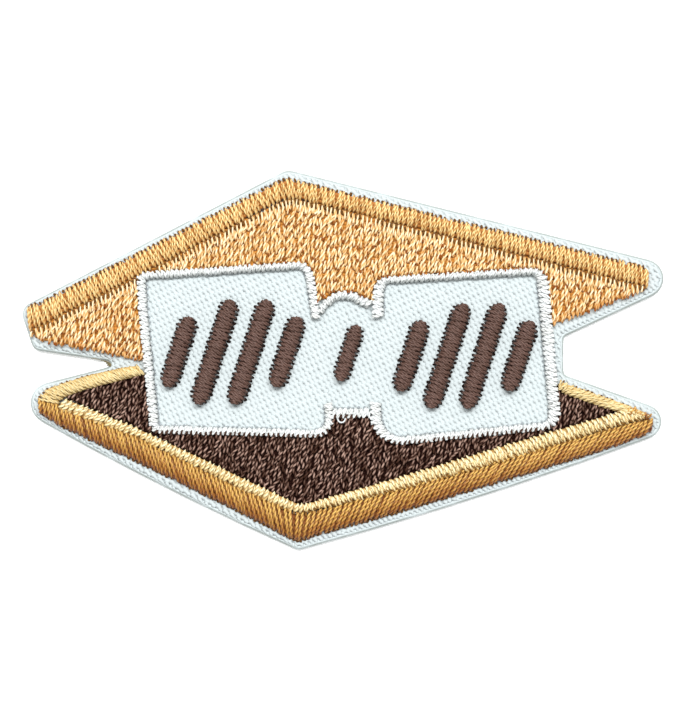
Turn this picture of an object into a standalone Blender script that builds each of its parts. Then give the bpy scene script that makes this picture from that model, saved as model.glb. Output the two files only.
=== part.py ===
"""Embroidered patch: a toasted marshmallow and chocolate cracker sandwich stitched on white twill.

The patch lies flat. +X runs along its length, +Y up the picture and +Z out of the stitched face.
The origin is the middle of its bounding box at the back face. Outlines are in millimetres and are
turned into metres where the meshes are made.
"""

import math

import bmesh
import bpy
import numpy as np

MM = 0.001

# Heights above the back face
GROUND_THICKNESS = 0.80
THREAD_GAP = 0.28
THREAD_BASE = GROUND_THICKNESS + THREAD_GAP
FILL_TOP = 1.52
SATIN_EDGE = 1.34
SATIN_CROWN = 1.78
BAR_CROWN = 1.92

# Stitching
SIDE_GAP = 0.28
SATIN_STATION = 0.80
SATIN_TOOTH = 0.10
SATIN_VALLEY = 0.11
FILL_RIDGE_PITCH = 1.28
FILL_RIDGE_DEPTH = 0.13
ARC_STEP = math.radians(20.0)

# Outlines as (x, y, corner radius, outward bow of the side that follows), anticlockwise
GROUND = [
    (-5.60, 19.09, 1.50, 0.0),
    (-32.38, 5.20, 1.20, 0.0),
    (-31.00, 1.00, 1.00, 0.0),
    (-22.05, -0.32, 0.30, 0.0),
    (-35.20, -3.65, 2.10, 0.33),
    (-4.50, -19.08, 1.00, 0.42),
    (35.65, -6.24, 1.75, 0.0),
    (22.10, -1.45, 0.40, 0.0),
    (22.10, 2.30, 0.40, 0.0),
    (36.03, 8.72, 1.95, 0.0),
]
LEFT_MARSHMALLOW = [
    (-20.60, 8.95, 0.60, 0.0),
    (-19.20, -7.30, 0.60, 0.0),
    (-0.95, -7.90, 0.90, 0.0),
    (-3.05, 9.50, 1.20, 0.0),
]
RIGHT_MARSHMALLOW = [
    (3.00, 8.35, 1.00, 0.0),
    (2.60, -8.70, 2.80, 0.0),
    (22.10, -7.00, 1.60, 0.0),
    (20.70, 9.40, 1.60, 0.0),
]
MIDDLE_MARSHMALLOW = [
    (-3.50, 6.90, 2.20, 0.0),
    (-1.40, -6.00, 0.60, 0.0),
    (3.20, -6.00, 0.60, 0.0),
    (3.60, 6.90, 2.20, 0.0),
]
FACE_LEFT = [
    (-21.10, 8.26, 0.0, 0.0),
    (-31.10, 2.95, 0.3, 0.0),
    (-31.00, 2.25, 0.3, 0.0),
    (-24.70, 0.80, 0.0, 0.0),
    (-20.00, -0.15, 0.0, 0.0),
    (-20.10, 7.50, 0.0, 0.0),
]
FACE_MAIN = [
    (-5.30, 15.62, 0.0, 0.0),
    (-18.75, 9.50, 0.0, 0.0),
    (-17.00, 8.50, 0.0, 0.0),
    (-3.00, 5.00, 0.0, 0.0),
    (3.50, 5.00, 0.0, 0.0),
    (20.90, 3.30, 0.0, 0.0),
    (30.10, 6.75, 0.2, 0.0),
    (30.10, 7.25, 0.2, 0.0),
    (-0.30, 14.90, 0.0, 0.0),
]
CHOCOLATE_LEFT = [
    (-27.60, -3.75, 0.0, 0.0),
    (-19.75, -7.05, 0.0, 0.0),
    (-19.10, -1.85, 0.0, 0.0),
    (-26.00, -3.10, 0.0, 0.0),
]
CHOCOLATE_MIDDLE = [
    (-18.60, -7.75, 0.0, 0.0),
    (-4.00, -14.35, 0.6, 0.10),
    (15.30, -9.10, 0.0, 0.05),
    (20.20, -7.55, 0.0, 0.0),
    (2.00, -5.00, 0.0, 0.0),
    (-2.00, -5.00, 0.0, 0.0),
    (-18.00, -7.00, 0.0, 0.0),
]
CHOCOLATE_RIGHT = [
    (22.00, -6.75, 0.0, 0.0),
    (26.60, -4.75, 0.0, 0.0),
    (21.70, -3.25, 0.0, 0.0),
]

# Satin columns as (outer point, inner point) pairs along the column
UPPER_RIM = [
    ((-31.50, 5.30), (-31.25, 3.35)),
    ((-20.00, 11.15), (-19.20, 9.65)),
    ((-5.65, 18.25), (-5.30, 15.95)),
    ((-0.10, 16.95), (-0.35, 15.22)),
    ((30.60, 9.35), (30.35, 7.58)),
]
LOWER_RIM_LEFT = [
    ((-30.15, -3.55), (-28.75, -4.10)),
    ((-26.30, -1.90), (-25.85, -2.80)),
    ((-20.10, -0.60), (-20.00, -1.60)),
]
LOWER_RIM_RIGHT = [
    ((30.85, -5.45), (29.70, -5.60)),
    ((27.35, -4.00), (26.70, -4.42)),
    ((22.00, -2.10), (22.10, -3.05)),
]
LIGHT_BAND = [
    ((-30.10, -4.40), (-29.00, -4.42)),
    ((-19.05, -9.15), (-18.60, -7.90)),
    ((-4.25, -15.45), (-4.00, -14.72)),
    ((15.55, -10.40), (15.35, -9.45)),
    ((30.90, -6.00), (29.60, -5.92)),
]
SIDE_BAND = [
    ((-30.35, -5.40), (-30.05, -4.72)),
    ((-19.20, -11.35), (-19.05, -9.50)),
    ((-4.60, -18.15), (-4.25, -15.80)),
    ((15.60, -12.30), (15.60, -10.72)),
    ((31.15, -7.10), (30.95, -6.32)),
]
MIDDLE_ARCH = [
    ((-2.10, 5.95), (-1.55, 5.15)),
    ((-1.10, 6.70), (-0.80, 5.95)),
    ((0.10, 7.00), (0.10, 6.20)),
    ((1.40, 6.60), (1.10, 5.85)),
    ((2.45, 6.10), (2.10, 5.35)),
]
MIDDLE_FOOT = [
    ((-0.80, -5.80), (-0.95, -4.30)),
    ((2.30, -5.80), (2.30, -4.30)),
]
MARSHMALLOW_BORDER_WIDTH = 0.90
# Beside the middle marshmallow a border is open between these heights of the plan
BORDER_OPEN_REACH = 3.90
BORDER_OPEN = (-4.25, 4.30)

# Toasting bars: slanted satin strokes, shorter towards the marshmallow's sides
BAR_WIDTH = 1.90
BAR_SLANT = math.radians(72.0)
BAR_SPACING = 3.60
BAR_LENGTHS = (7.2, 10.8, 10.8, 7.2)
LEFT_BAR_CENTRE = (-11.00, 0.80)
RIGHT_BAR_CENTRE = (12.20, 0.40)
MIDDLE_BAR_CENTRE = (0.55, 0.70)
MIDDLE_BAR_LENGTH = 5.60
MIDDLE_BAR_WIDTH = 1.60


def clear_scene():
    for item in list(bpy.data.objects):
        bpy.data.objects.remove(item, do_unlink=True)


def thread_material(name, colour, roughness=0.45):
    """Principled material with one colour, roughness and no metal."""
    material = bpy.data.materials.new(name)
    material.use_nodes = True
    shader = material.node_tree.nodes["Principled BSDF"]
    shader.inputs["Base Color"].default_value = (*colour, 1.0)
    shader.inputs["Roughness"].default_value = roughness
    shader.inputs["Metallic"].default_value = 0.0
    return material


def bowed_side(start, end, bow):
    """Inner points of a side that bulges outward by a parabola whose middle stands off by bow."""
    if bow == 0.0:
        return []
    chord = end - start
    outward = np.array([chord[1], -chord[0]]) / np.linalg.norm(chord)
    return [start + chord * t + outward * (4.0 * bow * t * (1.0 - t)) for t in (0.2, 0.4, 0.6, 0.8)]


def corner_arc(before, corner, after, radius, steps=None):
    """Arc of the given radius that touches both sides of a corner; a zero radius keeps the point."""
    if radius <= 0.0:
        return [corner]
    to_before = (before - corner) / np.linalg.norm(before - corner)
    to_after = (after - corner) / np.linalg.norm(after - corner)
    half = 0.5 * math.acos(float(np.clip(to_before @ to_after, -1.0, 1.0)))
    middle = (to_before + to_after) / np.linalg.norm(to_before + to_after)
    centre = corner + middle * radius / math.sin(half)
    start = corner + to_before * radius / math.tan(half) - centre
    end = corner + to_after * radius / math.tan(half) - centre
    first = math.atan2(start[1], start[0])
    turn = math.atan2(start[0] * end[1] - start[1] * end[0], float(start @ end))
    count = steps or max(1, math.ceil(abs(turn) / ARC_STEP))
    angles = first + turn * np.arange(count + 1) / count
    return [centre + radius * np.array([math.cos(a), math.sin(a)]) for a in angles]


def outline_points(corners):
    """Closed outline: a corner arc at each corner and a bowed side after it."""
    count = len(corners)
    places = [np.array(corner[:2]) for corner in corners]
    arcs = [
        corner_arc(places[i - 1], places[i], places[(i + 1) % count], corners[i][2])
        for i in range(count)
    ]
    points = []
    for i in range(count):
        points += arcs[i]
        points += bowed_side(arcs[i][-1], arcs[(i + 1) % count][0], corners[i][3])
    return np.array(points)


def grown(corners, distance):
    """Corners of a convex anticlockwise outline with each side moved outward by distance."""
    count = len(corners)
    places = [np.array(corner[:2]) for corner in corners]
    moved = []
    for i in range(count):
        side_in = places[i] - places[i - 1]
        side_out = places[(i + 1) % count] - places[i]
        normal_in = np.array([side_in[1], -side_in[0]]) / np.linalg.norm(side_in)
        normal_out = np.array([side_out[1], -side_out[0]]) / np.linalg.norm(side_out)
        shift = (normal_in + normal_out) / (1.0 + float(normal_in @ normal_out))
        place = places[i] + shift * distance
        moved.append((place[0], place[1], max(0.05, corners[i][2] + distance), corners[i][3]))
    return moved


def new_object(name, vertices, faces, material=None):
    """Mesh object whose coordinates are given in millimetres."""
    mesh = bpy.data.meshes.new(name)
    mesh.from_pydata((np.asarray(vertices) * MM).tolist(), [], faces)
    mesh.validate()
    mesh.update()
    if material:
        mesh.materials.append(material)
    item = bpy.data.objects.new(name, mesh)
    bpy.context.scene.collection.objects.link(item)
    return item


def prism(name, outline, low, high, material=None):
    """Outline extruded from one height to another, with triangulated ends."""
    item = new_object(name, [(x, y, low) for x, y in outline], [list(range(len(outline)))], material)
    mesh = bmesh.new()
    mesh.from_mesh(item.data)
    risen = bmesh.ops.extrude_face_region(mesh, geom=mesh.faces[:])
    top = [part for part in risen["geom"] if isinstance(part, bmesh.types.BMVert)]
    bmesh.ops.translate(mesh, verts=top, vec=(0.0, 0.0, (high - low) * MM))
    bmesh.ops.triangulate(mesh, faces=[face for face in mesh.faces if len(face.verts) > 4])
    bmesh.ops.recalc_face_normals(mesh, faces=mesh.faces[:])
    mesh.to_mesh(item.data)
    mesh.free()
    return item


def cutter(name, outline):
    """Upright prism, taller than the patch, that only cuts other pieces."""
    item = prism(name, outline, -1.0, 4.0)
    item.hide_render = True
    item.display_type = "WIRE"
    return item


def add_boolean(item, operation, other):
    modifier = item.modifiers.new(other.name, "BOOLEAN")
    modifier.operation = operation
    modifier.solver = "EXACT"
    modifier.object = other


def ridged_slab(name, outline, lean, material):
    """Slab over the outline's box; its top folds into straight ridges that lean from the Y axis."""
    low = outline.min(axis=0) - 2.0
    high = outline.max(axis=0) + 2.0
    slope = math.tan(lean)
    reach = abs(slope) * (high[1] - low[1])
    count = 2 * math.ceil((high[0] - low[0] + 2.0 * reach) / FILL_RIDGE_PITCH)
    across = low[0] - reach + np.arange(count + 1) * FILL_RIDGE_PITCH / 2.0
    tops = FILL_TOP - FILL_RIDGE_DEPTH * (np.arange(count + 1) % 2)
    vertices = []
    for y in (low[1], high[1]):
        shifted = across + slope * (y - low[1])
        vertices += [(x, y, z) for x, z in zip(shifted, tops)]
        vertices += [(shifted[-1], y, THREAD_BASE), (shifted[0], y, THREAD_BASE)]
    ring = count + 3
    faces = [(i, (i + 1) % ring, ring + (i + 1) % ring, ring + i) for i in range(ring)]
    faces.append(tuple(range(ring))[::-1])
    faces.append(tuple(range(ring, 2 * ring)))
    item = new_object(name, vertices, faces, material)
    mesh = bmesh.new()
    mesh.from_mesh(item.data)
    bmesh.ops.recalc_face_normals(mesh, faces=mesh.faces[:])
    mesh.to_mesh(item.data)
    mesh.free()
    return item


def fill_field(name, corners, lean, holes, material):
    """Field of fill stitching: the ridged slab kept inside the outline and cut round the holes."""
    outline = outline_points(corners)
    item = ridged_slab(name, outline, lean, material)
    add_boolean(item, "INTERSECT", cutter(name + "_outline", outline))
    for hole in holes:
        add_boolean(item, "DIFFERENCE", hole)
    return item


def column_stations(pairs):
    """Matching points on both edges of an open satin column, spaced by SATIN_STATION."""
    outer = []
    inner = []
    for (outer_a, inner_a), (outer_b, inner_b) in zip(pairs, pairs[1:]):
        outer_a, inner_a, outer_b, inner_b = map(np.array, (outer_a, inner_a, outer_b, inner_b))
        middle = (outer_b + inner_b - outer_a - inner_a) / 2.0
        count = max(1, round(float(np.linalg.norm(middle)) / SATIN_STATION))
        for t in np.arange(count) / count:
            outer.append(outer_a + (outer_b - outer_a) * t)
            inner.append(inner_a + (inner_b - inner_a) * t)
    outer.append(np.array(pairs[-1][0]))
    inner.append(np.array(pairs[-1][1]))
    return np.array(outer), np.array(inner)


def ring_stations(corners, width):
    """Matching points on the outer and inner edge of a satin border all the way round."""
    edges = [corners, grown(corners, -width)]
    count = len(corners)
    arcs = []
    for edge in edges:
        places = [np.array(corner[:2]) for corner in edge]
        arcs.append([
            corner_arc(places[i - 1], places[i], places[(i + 1) % count], edge[i][2], steps=4)
            for i in range(count)
        ])
    rings = [[], []]
    for i in range(count):
        span = np.linalg.norm(arcs[0][(i + 1) % count][0] - arcs[0][i][-1])
        steps = max(1, round(float(span) / SATIN_STATION))
        for ring, edge_arcs in zip(rings, arcs):
            start = edge_arcs[i][-1]
            end = edge_arcs[(i + 1) % count][0]
            ring += edge_arcs[i]
            ring += [start + (end - start) * t for t in np.arange(1, steps) / steps]
    return np.array(rings[0]), np.array(rings[1])


def satin_solid(name, outer, inner, crown, material):
    """Crowned column between two edges: each section is a flat base under a rounded top.

    Every second section is lower and narrower, so the top shows ridges and the edges show teeth.
    """
    count = len(outer)
    valley = (np.arange(count) % 2)[:, None]
    across = inner - outer
    width = np.linalg.norm(across, axis=1, keepdims=True)
    pull = across / width * np.minimum(SATIN_TOOTH, 0.2 * width) * valley
    outer = outer + pull
    inner = inner - pull
    shares = (0.0, 0.0, 0.22, 0.5, 0.78, 1.0, 1.0)
    crown_shape = (0.0, 0.0, 0.75, 1.0, 0.75, 0.0, 0.0)
    vertices = np.zeros((count, len(shares), 3))
    for k, (share, rise) in enumerate(zip(shares, crown_shape)):
        vertices[:, k, :2] = outer + (inner - outer) * share
        vertices[:, k, 2] = SATIN_EDGE + (crown - SATIN_EDGE) * rise - SATIN_VALLEY * rise * valley[:, 0]
    vertices[:, 0, 2] = THREAD_BASE
    vertices[:, -1, 2] = THREAD_BASE
    size = len(shares)
    faces = []
    for i in range(count - 1):
        j = i + 1
        faces += [
            (i * size + k, j * size + k, j * size + (k + 1) % size, i * size + (k + 1) % size)
            for k in range(size)
        ]
    faces.append(tuple(range(size)))
    faces.append(tuple(range((count - 1) * size, count * size))[::-1])
    item = new_object(name, vertices.reshape(-1, 3), faces, material)
    mesh = bmesh.new()
    mesh.from_mesh(item.data)
    bmesh.ops.recalc_face_normals(mesh, faces=mesh.faces[:])
    mesh.to_mesh(item.data)
    mesh.free()
    item.data.shade_smooth()
    item.data.set_sharp_from_angle(angle=math.radians(50.0))
    return item


def satin_column(name, pairs, material):
    outer, inner = column_stations(pairs)
    return satin_solid(name, outer, inner, SATIN_CROWN, material)


def opened(outer, inner):
    """Ring stations as one run from one end of the opening, round the marshmallow, to its other end."""
    low, high = BORDER_OPEN
    bare = (np.abs(outer[:, 0]) < BORDER_OPEN_REACH) & (outer[:, 1] > low) & (outer[:, 1] < high)
    start = np.flatnonzero(bare & ~np.roll(bare, -1))[0] + 1
    kept = len(outer) - bare.sum()
    return np.roll(outer, -start, axis=0)[:kept], np.roll(inner, -start, axis=0)[:kept]


def satin_border(name, corners, material):
    outer, inner = opened(*ring_stations(corners, MARSHMALLOW_BORDER_WIDTH))
    return satin_solid(name, outer, inner, SATIN_CROWN, material)


def toasting_bar(name, centre, length, width, material):
    """Straight slanted stroke whose ends narrow as half circles."""
    along = np.array([math.cos(BAR_SLANT), math.sin(BAR_SLANT)])
    across = np.array([-along[1], along[0]])
    radius = width / 2.0
    straight = np.linspace(radius - length / 2.0, length / 2.0 - radius, round(length / SATIN_STATION))
    turn = np.radians([80.0, 55.0, 30.0])
    places = np.concatenate([
        straight[0] - radius * np.sin(turn),
        straight,
        straight[-1] + radius * np.sin(turn[::-1]),
    ])
    halves = np.concatenate([radius * np.cos(turn), np.full(len(straight), radius), radius * np.cos(turn[::-1])])
    middle = np.array(centre) + places[:, None] * along
    outer = middle + halves[:, None] * across
    inner = middle - halves[:, None] * across
    return satin_solid(name, outer, inner, BAR_CROWN, material)


def bar_row(side, centre, material):
    """Row of bars, evenly spaced about the marshmallow's centre."""
    for k, length in enumerate(BAR_LENGTHS):
        offset = (k - (len(BAR_LENGTHS) - 1) / 2.0) * BAR_SPACING
        place = (centre[0] + offset, centre[1])
        toasting_bar(f"toast_bar_{side}_{k + 1}", place, length, BAR_WIDTH, material)


def build():
    clear_scene()
    twill = thread_material("white_twill", (0.88, 0.95, 0.97), 0.85)
    rim = thread_material("golden_thread", (0.80, 0.50, 0.15))
    face = thread_material("cracker_thread", (0.88, 0.52, 0.20))
    pale = thread_material("pale_yellow_thread", (0.90, 0.72, 0.35))
    side = thread_material("amber_thread", (0.62, 0.34, 0.08))
    chocolate = thread_material("chocolate_thread", (0.05, 0.02, 0.015))
    white = thread_material("white_thread", (0.92, 0.90, 0.90))
    toast = thread_material("toast_brown_thread", (0.11, 0.055, 0.045))

    prism("twill_ground", outline_points(GROUND), 0.0, GROUND_THICKNESS, twill)

    holes = [
        cutter("left_hole", outline_points(grown(LEFT_MARSHMALLOW, SIDE_GAP))),
        cutter("middle_hole", outline_points(grown(MIDDLE_MARSHMALLOW, SIDE_GAP))),
        cutter("right_hole", outline_points(grown(RIGHT_MARSHMALLOW, SIDE_GAP))),
    ]
    fill_field("upper_cracker_face_left", FACE_LEFT, math.radians(-4.0), holes[:1], face)
    fill_field("upper_cracker_face_main", FACE_MAIN, math.radians(-4.0), holes, face)
    fill_field("chocolate_field_left", CHOCOLATE_LEFT, math.radians(8.0), holes[:1], chocolate)
    fill_field("chocolate_field_middle", CHOCOLATE_MIDDLE, math.radians(8.0), holes, chocolate)
    fill_field("chocolate_field_right", CHOCOLATE_RIGHT, math.radians(8.0), holes[2:], chocolate)

    satin_column("upper_cracker_rim", UPPER_RIM, rim)
    satin_column("lower_cracker_rim_left", LOWER_RIM_LEFT, pale)
    satin_column("lower_cracker_rim_right", LOWER_RIM_RIGHT, pale)
    satin_column("lower_cracker_light_band", LIGHT_BAND, pale)
    satin_column("lower_cracker_side_band", SIDE_BAND, side)

    satin_border("left_marshmallow_border", LEFT_MARSHMALLOW, white)
    satin_border("right_marshmallow_border", RIGHT_MARSHMALLOW, white)
    satin_column("middle_marshmallow_arch", MIDDLE_ARCH, white)
    satin_column("middle_marshmallow_foot", MIDDLE_FOOT, white)

    bar_row("left", LEFT_BAR_CENTRE, toast)
    bar_row("right", RIGHT_BAR_CENTRE, toast)
    toasting_bar("toast_bar_middle", MIDDLE_BAR_CENTRE, MIDDLE_BAR_LENGTH, MIDDLE_BAR_WIDTH, toast)


build()
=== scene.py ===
"""Looks of an embroidered patch: a cracker, chocolate and marshmallow sandwich in thread on white twill.

Every stitch is a strand of thread with its own mesh, laid between two needle points. Plan shapes are
in millimetres: +X runs along the patch, +Y up the picture, and heights are above the back face.
Sizes and colours that a user would change are properties of the scene; see the panel "Patch".
"""

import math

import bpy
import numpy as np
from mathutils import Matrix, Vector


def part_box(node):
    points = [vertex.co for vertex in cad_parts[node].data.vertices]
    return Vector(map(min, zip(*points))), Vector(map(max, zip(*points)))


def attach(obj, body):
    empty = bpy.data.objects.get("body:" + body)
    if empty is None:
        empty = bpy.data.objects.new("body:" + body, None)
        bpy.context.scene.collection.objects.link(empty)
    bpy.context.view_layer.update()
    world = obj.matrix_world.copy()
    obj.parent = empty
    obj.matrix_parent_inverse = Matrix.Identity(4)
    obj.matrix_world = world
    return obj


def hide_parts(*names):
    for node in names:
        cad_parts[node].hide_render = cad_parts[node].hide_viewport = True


bl_info = {
    "name": "Embroidered Sandwich Patch",
    "version": (1, 0, 0),
    "blender": (4, 5, 0),
    "location": "3D View > Sidebar > Patch",
    "description": "Stitches a cracker, chocolate and marshmallow patch on white twill",
    "category": "Object",
}

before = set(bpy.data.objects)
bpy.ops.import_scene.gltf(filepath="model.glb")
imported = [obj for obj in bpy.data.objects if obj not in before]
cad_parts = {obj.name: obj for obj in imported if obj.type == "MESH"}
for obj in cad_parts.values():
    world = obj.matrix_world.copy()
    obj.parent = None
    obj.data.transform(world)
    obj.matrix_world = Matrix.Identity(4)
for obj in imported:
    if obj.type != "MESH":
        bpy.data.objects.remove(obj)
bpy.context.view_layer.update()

MM = 0.001
BODY = "root"


def top_of(node):
    """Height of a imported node's top, in millimetres."""
    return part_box(node)[1].z / MM


# Heights in millimetres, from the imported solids
CLOTH_TOP = top_of("twill_ground")
FILL_TOP = top_of("upper_cracker_face_main")
SATIN_TOP = top_of("upper_cracker_rim")
BAR_TOP = top_of("toast_bar_left_1")

# Levels within the solids: backing, white ground, needle points, underlay and the borders' crowns
BACKING_TOP = 0.36
WEAVE_FLOOR = 0.70
NEEDLE_LEVEL = 0.76
UNDERLAY_CROWN = 1.04
BORDER_TOP = SATIN_TOP - 0.22

# Corners of the marshmallows, in millimetres, anticlockwise: x, y and corner radius
LEFT_PANEL = (
    (-3.05, 9.92, 1.70), (-20.62, 8.74, 0.60), (-20.50, 6.00, 12.0), (-19.22, -7.30, 0.85),
    (-0.60, -7.78, 1.90),
)
RIGHT_PANEL = ((2.60, -8.75, 3.00), (21.80, -6.82, 1.60), (20.40, 9.32, 1.60), (3.00, 8.27, 1.50))
MIDDLE_PANEL = ((-3.50, 6.40, 1.60), (-1.40, -5.30, 0.60), (3.20, -5.30, 0.60), (3.60, 6.40, 1.60))

# Width of the borders up and down the plan, and sideways on the left and the right marshmallow
PANEL_BORDER = 0.74
LEFT_SIDE_BORDER = 0.86
RIGHT_SIDE_BORDER = 1.12

# Between which heights the borders are open beside the middle, and where the right one lies at a notch
BORDER_OPEN = (-4.25, 4.30)
NOTCH_MIDDLE = 0.40
NOTCH_HALF_HEIGHT = 2.40

# Corners of the filled fields, in millimetres, anticlockwise
UPPER_FACE = (
    (-5.30, 16.30), (-20.00, 10.10), (-31.35, 3.70), (-31.30, 2.50), (-30.50, 2.00), (-28.30, 1.45),
    (-24.70, 0.85), (-19.00, -0.35), (21.00, 3.42), (30.45, 7.05), (30.60, 7.60), (-0.30, 15.60),
)
UPPER_FACE_LOW_SIDE = slice(3, 10)
CHOCOLATE = (
    (-27.90, -3.75), (-19.30, -7.35), (-4.00, -14.75), (0.70, -13.55), (8.70, -11.15), (15.40, -9.50),
    (21.90, -7.45), (25.40, -6.30), (27.30, -5.00), (26.00, -4.20), (21.60, -2.40), (-19.60, -1.30),
    (-26.00, -2.70),
)

# Satin columns: matching (outer point, inner point) pairs, in millimetres
UPPER_RIM = (
    ((-31.50, 5.10), (-31.30, 2.70)), ((-31.10, 5.50), (-30.60, 3.15)), ((-30.10, 5.75), (-29.40, 3.60)),
    ((-28.90, 6.40), (-28.00, 4.42)), ((-18.90, 11.46), (-17.90, 9.58)), ((-7.20, 17.46), (-6.50, 15.70)),
    ((-5.75, 18.12), (-5.20, 16.05)), ((-4.60, 17.86), (-4.50, 15.98)), ((-0.10, 16.76), (-0.30, 15.00)),
    ((29.40, 9.47), (29.20, 7.47)), ((30.10, 9.20), (30.00, 7.28)), ((30.50, 8.85), (30.55, 7.18)),
)
LOWER_RIM_LEFT = (
    ((-30.50, -3.90), (-28.50, -4.50)), ((-29.75, -2.98), (-27.70, -3.70)),
    ((-27.50, -2.18), (-25.60, -2.92)), ((-25.50, -1.58), (-23.50, -2.36)),
    ((-22.30, -0.88), (-20.40, -1.58)), ((-20.60, -0.52), (-19.70, -1.42)),
)
LOWER_RIM_RIGHT = (
    ((21.75, -2.05), (21.40, -2.90)), ((23.60, -2.85), (22.30, -3.45)), ((26.20, -3.72), (24.90, -4.38)),
    ((28.60, -4.62), (27.00, -5.02)), ((30.75, -5.58), (29.10, -5.62)),
)
LIGHT_BAND = (
    ((-28.40, -4.85), (-27.70, -3.78)), ((-20.60, -7.65), (-20.30, -6.87)),
    ((-14.30, -10.80), (-14.15, -9.74)), ((-9.80, -13.10), (-9.60, -11.91)),
    ((-5.40, -14.90), (-5.30, -13.95)), ((-4.20, -15.25), (-4.30, -14.42)),
    ((-2.60, -15.00), (-3.40, -14.25)), ((5.90, -12.92), (4.50, -12.03)), ((15.90, -10.22), (14.50, -8.95)),
    ((25.90, -7.10), (24.60, -5.98)), ((29.50, -6.08), (27.90, -5.03)), ((30.30, -5.87), (29.30, -5.25)),
)
SIDE_BAND = (
    ((-30.20, -5.30), (-30.50, -3.72)), ((-29.36, -5.90), (-29.85, -3.98)),
    ((-27.68, -6.85), (-28.50, -4.42)), ((-19.38, -10.74), (-20.60, -7.60)),
    ((-10.39, -15.15), (-11.60, -12.18)), ((-5.66, -17.66), (-6.60, -14.38)),
    ((-4.91, -17.98), (-5.10, -14.97)), ((-4.40, -18.09), (-4.30, -15.18)),
    ((-3.78, -17.94), (-3.30, -15.10)), ((-2.56, -17.45), (-1.70, -14.80)),
    ((5.75, -15.15), (7.00, -12.34)), ((15.76, -12.13), (17.10, -9.56)), ((27.48, -8.50), (28.80, -6.25)),
    ((30.63, -7.25), (30.95, -5.85)),
)
LIGHT_BAND_LEFT, LIGHT_BAND_RIGHT = LIGHT_BAND[:6], LIGHT_BAND[5:]
MIDDLE_ARCH = (
    ((-2.62, 4.95), (-2.02, 4.55)), ((-2.15, 5.75), (-1.62, 5.18)), ((-1.58, 6.25), (-1.15, 5.62)),
    ((-0.80, 6.76), (-0.55, 5.94)), ((0.10, 6.92), (0.10, 6.06)), ((1.00, 6.82), (0.80, 5.96)),
    ((2.00, 6.34), (1.60, 5.54)), ((2.90, 5.92), (2.50, 5.10)),
)
TIP_STITCHES = (
    ((28.55, -4.62), (28.20, -5.45)), ((29.90, -5.10), (29.60, -5.75)), ((30.85, -5.50), (30.55, -6.00)),
)
MIDDLE_FOOT = (((-1.05, -5.80), (-1.05, -4.85)), ((2.65, -5.75), (2.65, -4.80)))

# A loose loop of thread below the foot
LOOSE_LOOP_CENTRE = (-0.15, -5.85)
LOOSE_LOOP_RADIUS = 0.38
LOOSE_LOOP_THICKNESS = 0.17
LOOSE_LOOP_START = math.radians(165.0)
LOOSE_LOOP_TURN = math.radians(210.0)

# Ends of the singed fibres along the end of the left notch
SCORCHED_FIBRES = (
    ((-25.20, 0.14), (-24.30, -0.01)), ((-24.25, -0.06), (-23.40, -0.24)),
    ((-23.90, -0.14), (-23.15, -0.44)), ((-23.70, -0.34), (-23.10, -0.56)),
    ((-23.60, -0.52), (-23.16, -0.64)),
)

# Toasting bars: slanted satin strokes, shorter towards the panel's sides, in millimetres
BAR_SLANT = math.radians(72.0)
BAR_SPACING = 3.60
BAR_WIDTH = 1.90
BAR_LENGTHS = (7.2, 10.8, 10.8, 7.2)
LEFT_BAR_CENTRE = (-11.00, 0.80)
RIGHT_BAR_CENTRE = (12.20, 0.40)
MIDDLE_BAR_CENTRE = (0.55, 0.70)
MIDDLE_BAR_LENGTH = 5.60
MIDDLE_BAR_WIDTH = 1.60

# Points of a rounded corner and of a bar's side
CORNER_STEPS = 7
BAR_STATIONS = 25

# Unevenness of the sewing, in millimetres: bows to one side, depths under the crown, and strays
SATIN_BOW = 0.04
FILL_BOW = 0.03
FLOAT_BOW = 0.02
SATIN_SINK = 0.14
RETURN_SINK = 0.22
FILL_SINK = 0.10
SHORT_SINK = 0.12
ROW_STRAY = 0.09
STITCH_STRAY = 0.12
GAP_STRAY = 0.05
GROUND_STRAY = 0.04
FLOAT_STRAY = 0.03

# Range of a strand's own width, as a share of the usual one
SATIN_WIDTHS = (0.90, 1.12)
FILL_WIDTHS = (0.90, 1.10)
EDGE_WIDTHS = (0.85, 1.05)

# Plies: how far their centres stand off and how thick they are, as shares of the strand, and their tints
PLY_OFFSET = 0.24
PLY_SIZE = 0.56
PLY_TINT = 0.25

# Field stitches: level of their ends, power of their arch, width of their ends as a share, and height over
# the field's lower edge up to which they take painted shade, as if turned from the light
FILL_FOOT = UNDERLAY_CROWN - 0.08
FILL_POWER = 2.3
FILL_END_WIDTH = 0.72
SHADED_HEIGHT = 1.1

# Separate stitches along a rim: usual width as a share of a field stitch's, and length and sideways
# stray of their ends in millimetres
EDGE_WIDTH = 0.82
EDGE_LENGTHS = (0.75, 1.25)
EDGE_SWAY = (-0.08, 0.12)

# Needle gaps, dark bowls of painted shade: spread of their turn, shares of their length and width, and how
# far their level strays
GAP_TURN = 0.18
GAP_LENGTHS = (0.65, 1.15)
GAP_WIDTHS = (0.75, 1.15)
GAP_LEVEL_STRAY = 0.02

# Bowl of a gap, from outside in: each ellipse's share of the gap's size and height over its level
BOWL_REACH = (1.0, 0.86, 0.3)
BOWL_RISE = (-0.16, 0.0, -0.04)

# The shortest stitch that is sewn, the length below which one in a field sinks, and the length of one
# in steps along its row
SHORTEST_STITCH = 0.33
SHORT_STITCH = 0.60
STITCH_OVERLAP = 1.06

# Padding under a column: sizes in millimetres, and the margin and height of its sides as shares
PAD_RUN = 2.2
PAD_MARGIN = 0.18
PAD_THICKNESS = 0.40
PAD_DEPTH = 0.50
PAD_SINK = 0.04
PAD_SIDE_SHARE = 0.14
PAD_SIDE_HEIGHT = 0.40

# Underlay of a field, in millimetres
GROUND_STEP = 2.6
GROUND_SHIFT = 0.3
GROUND_LENGTH = 3.4
GROUND_ROW = 0.32
GROUND_WIDTH = 0.44
GROUND_THICKNESS = 0.26

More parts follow.
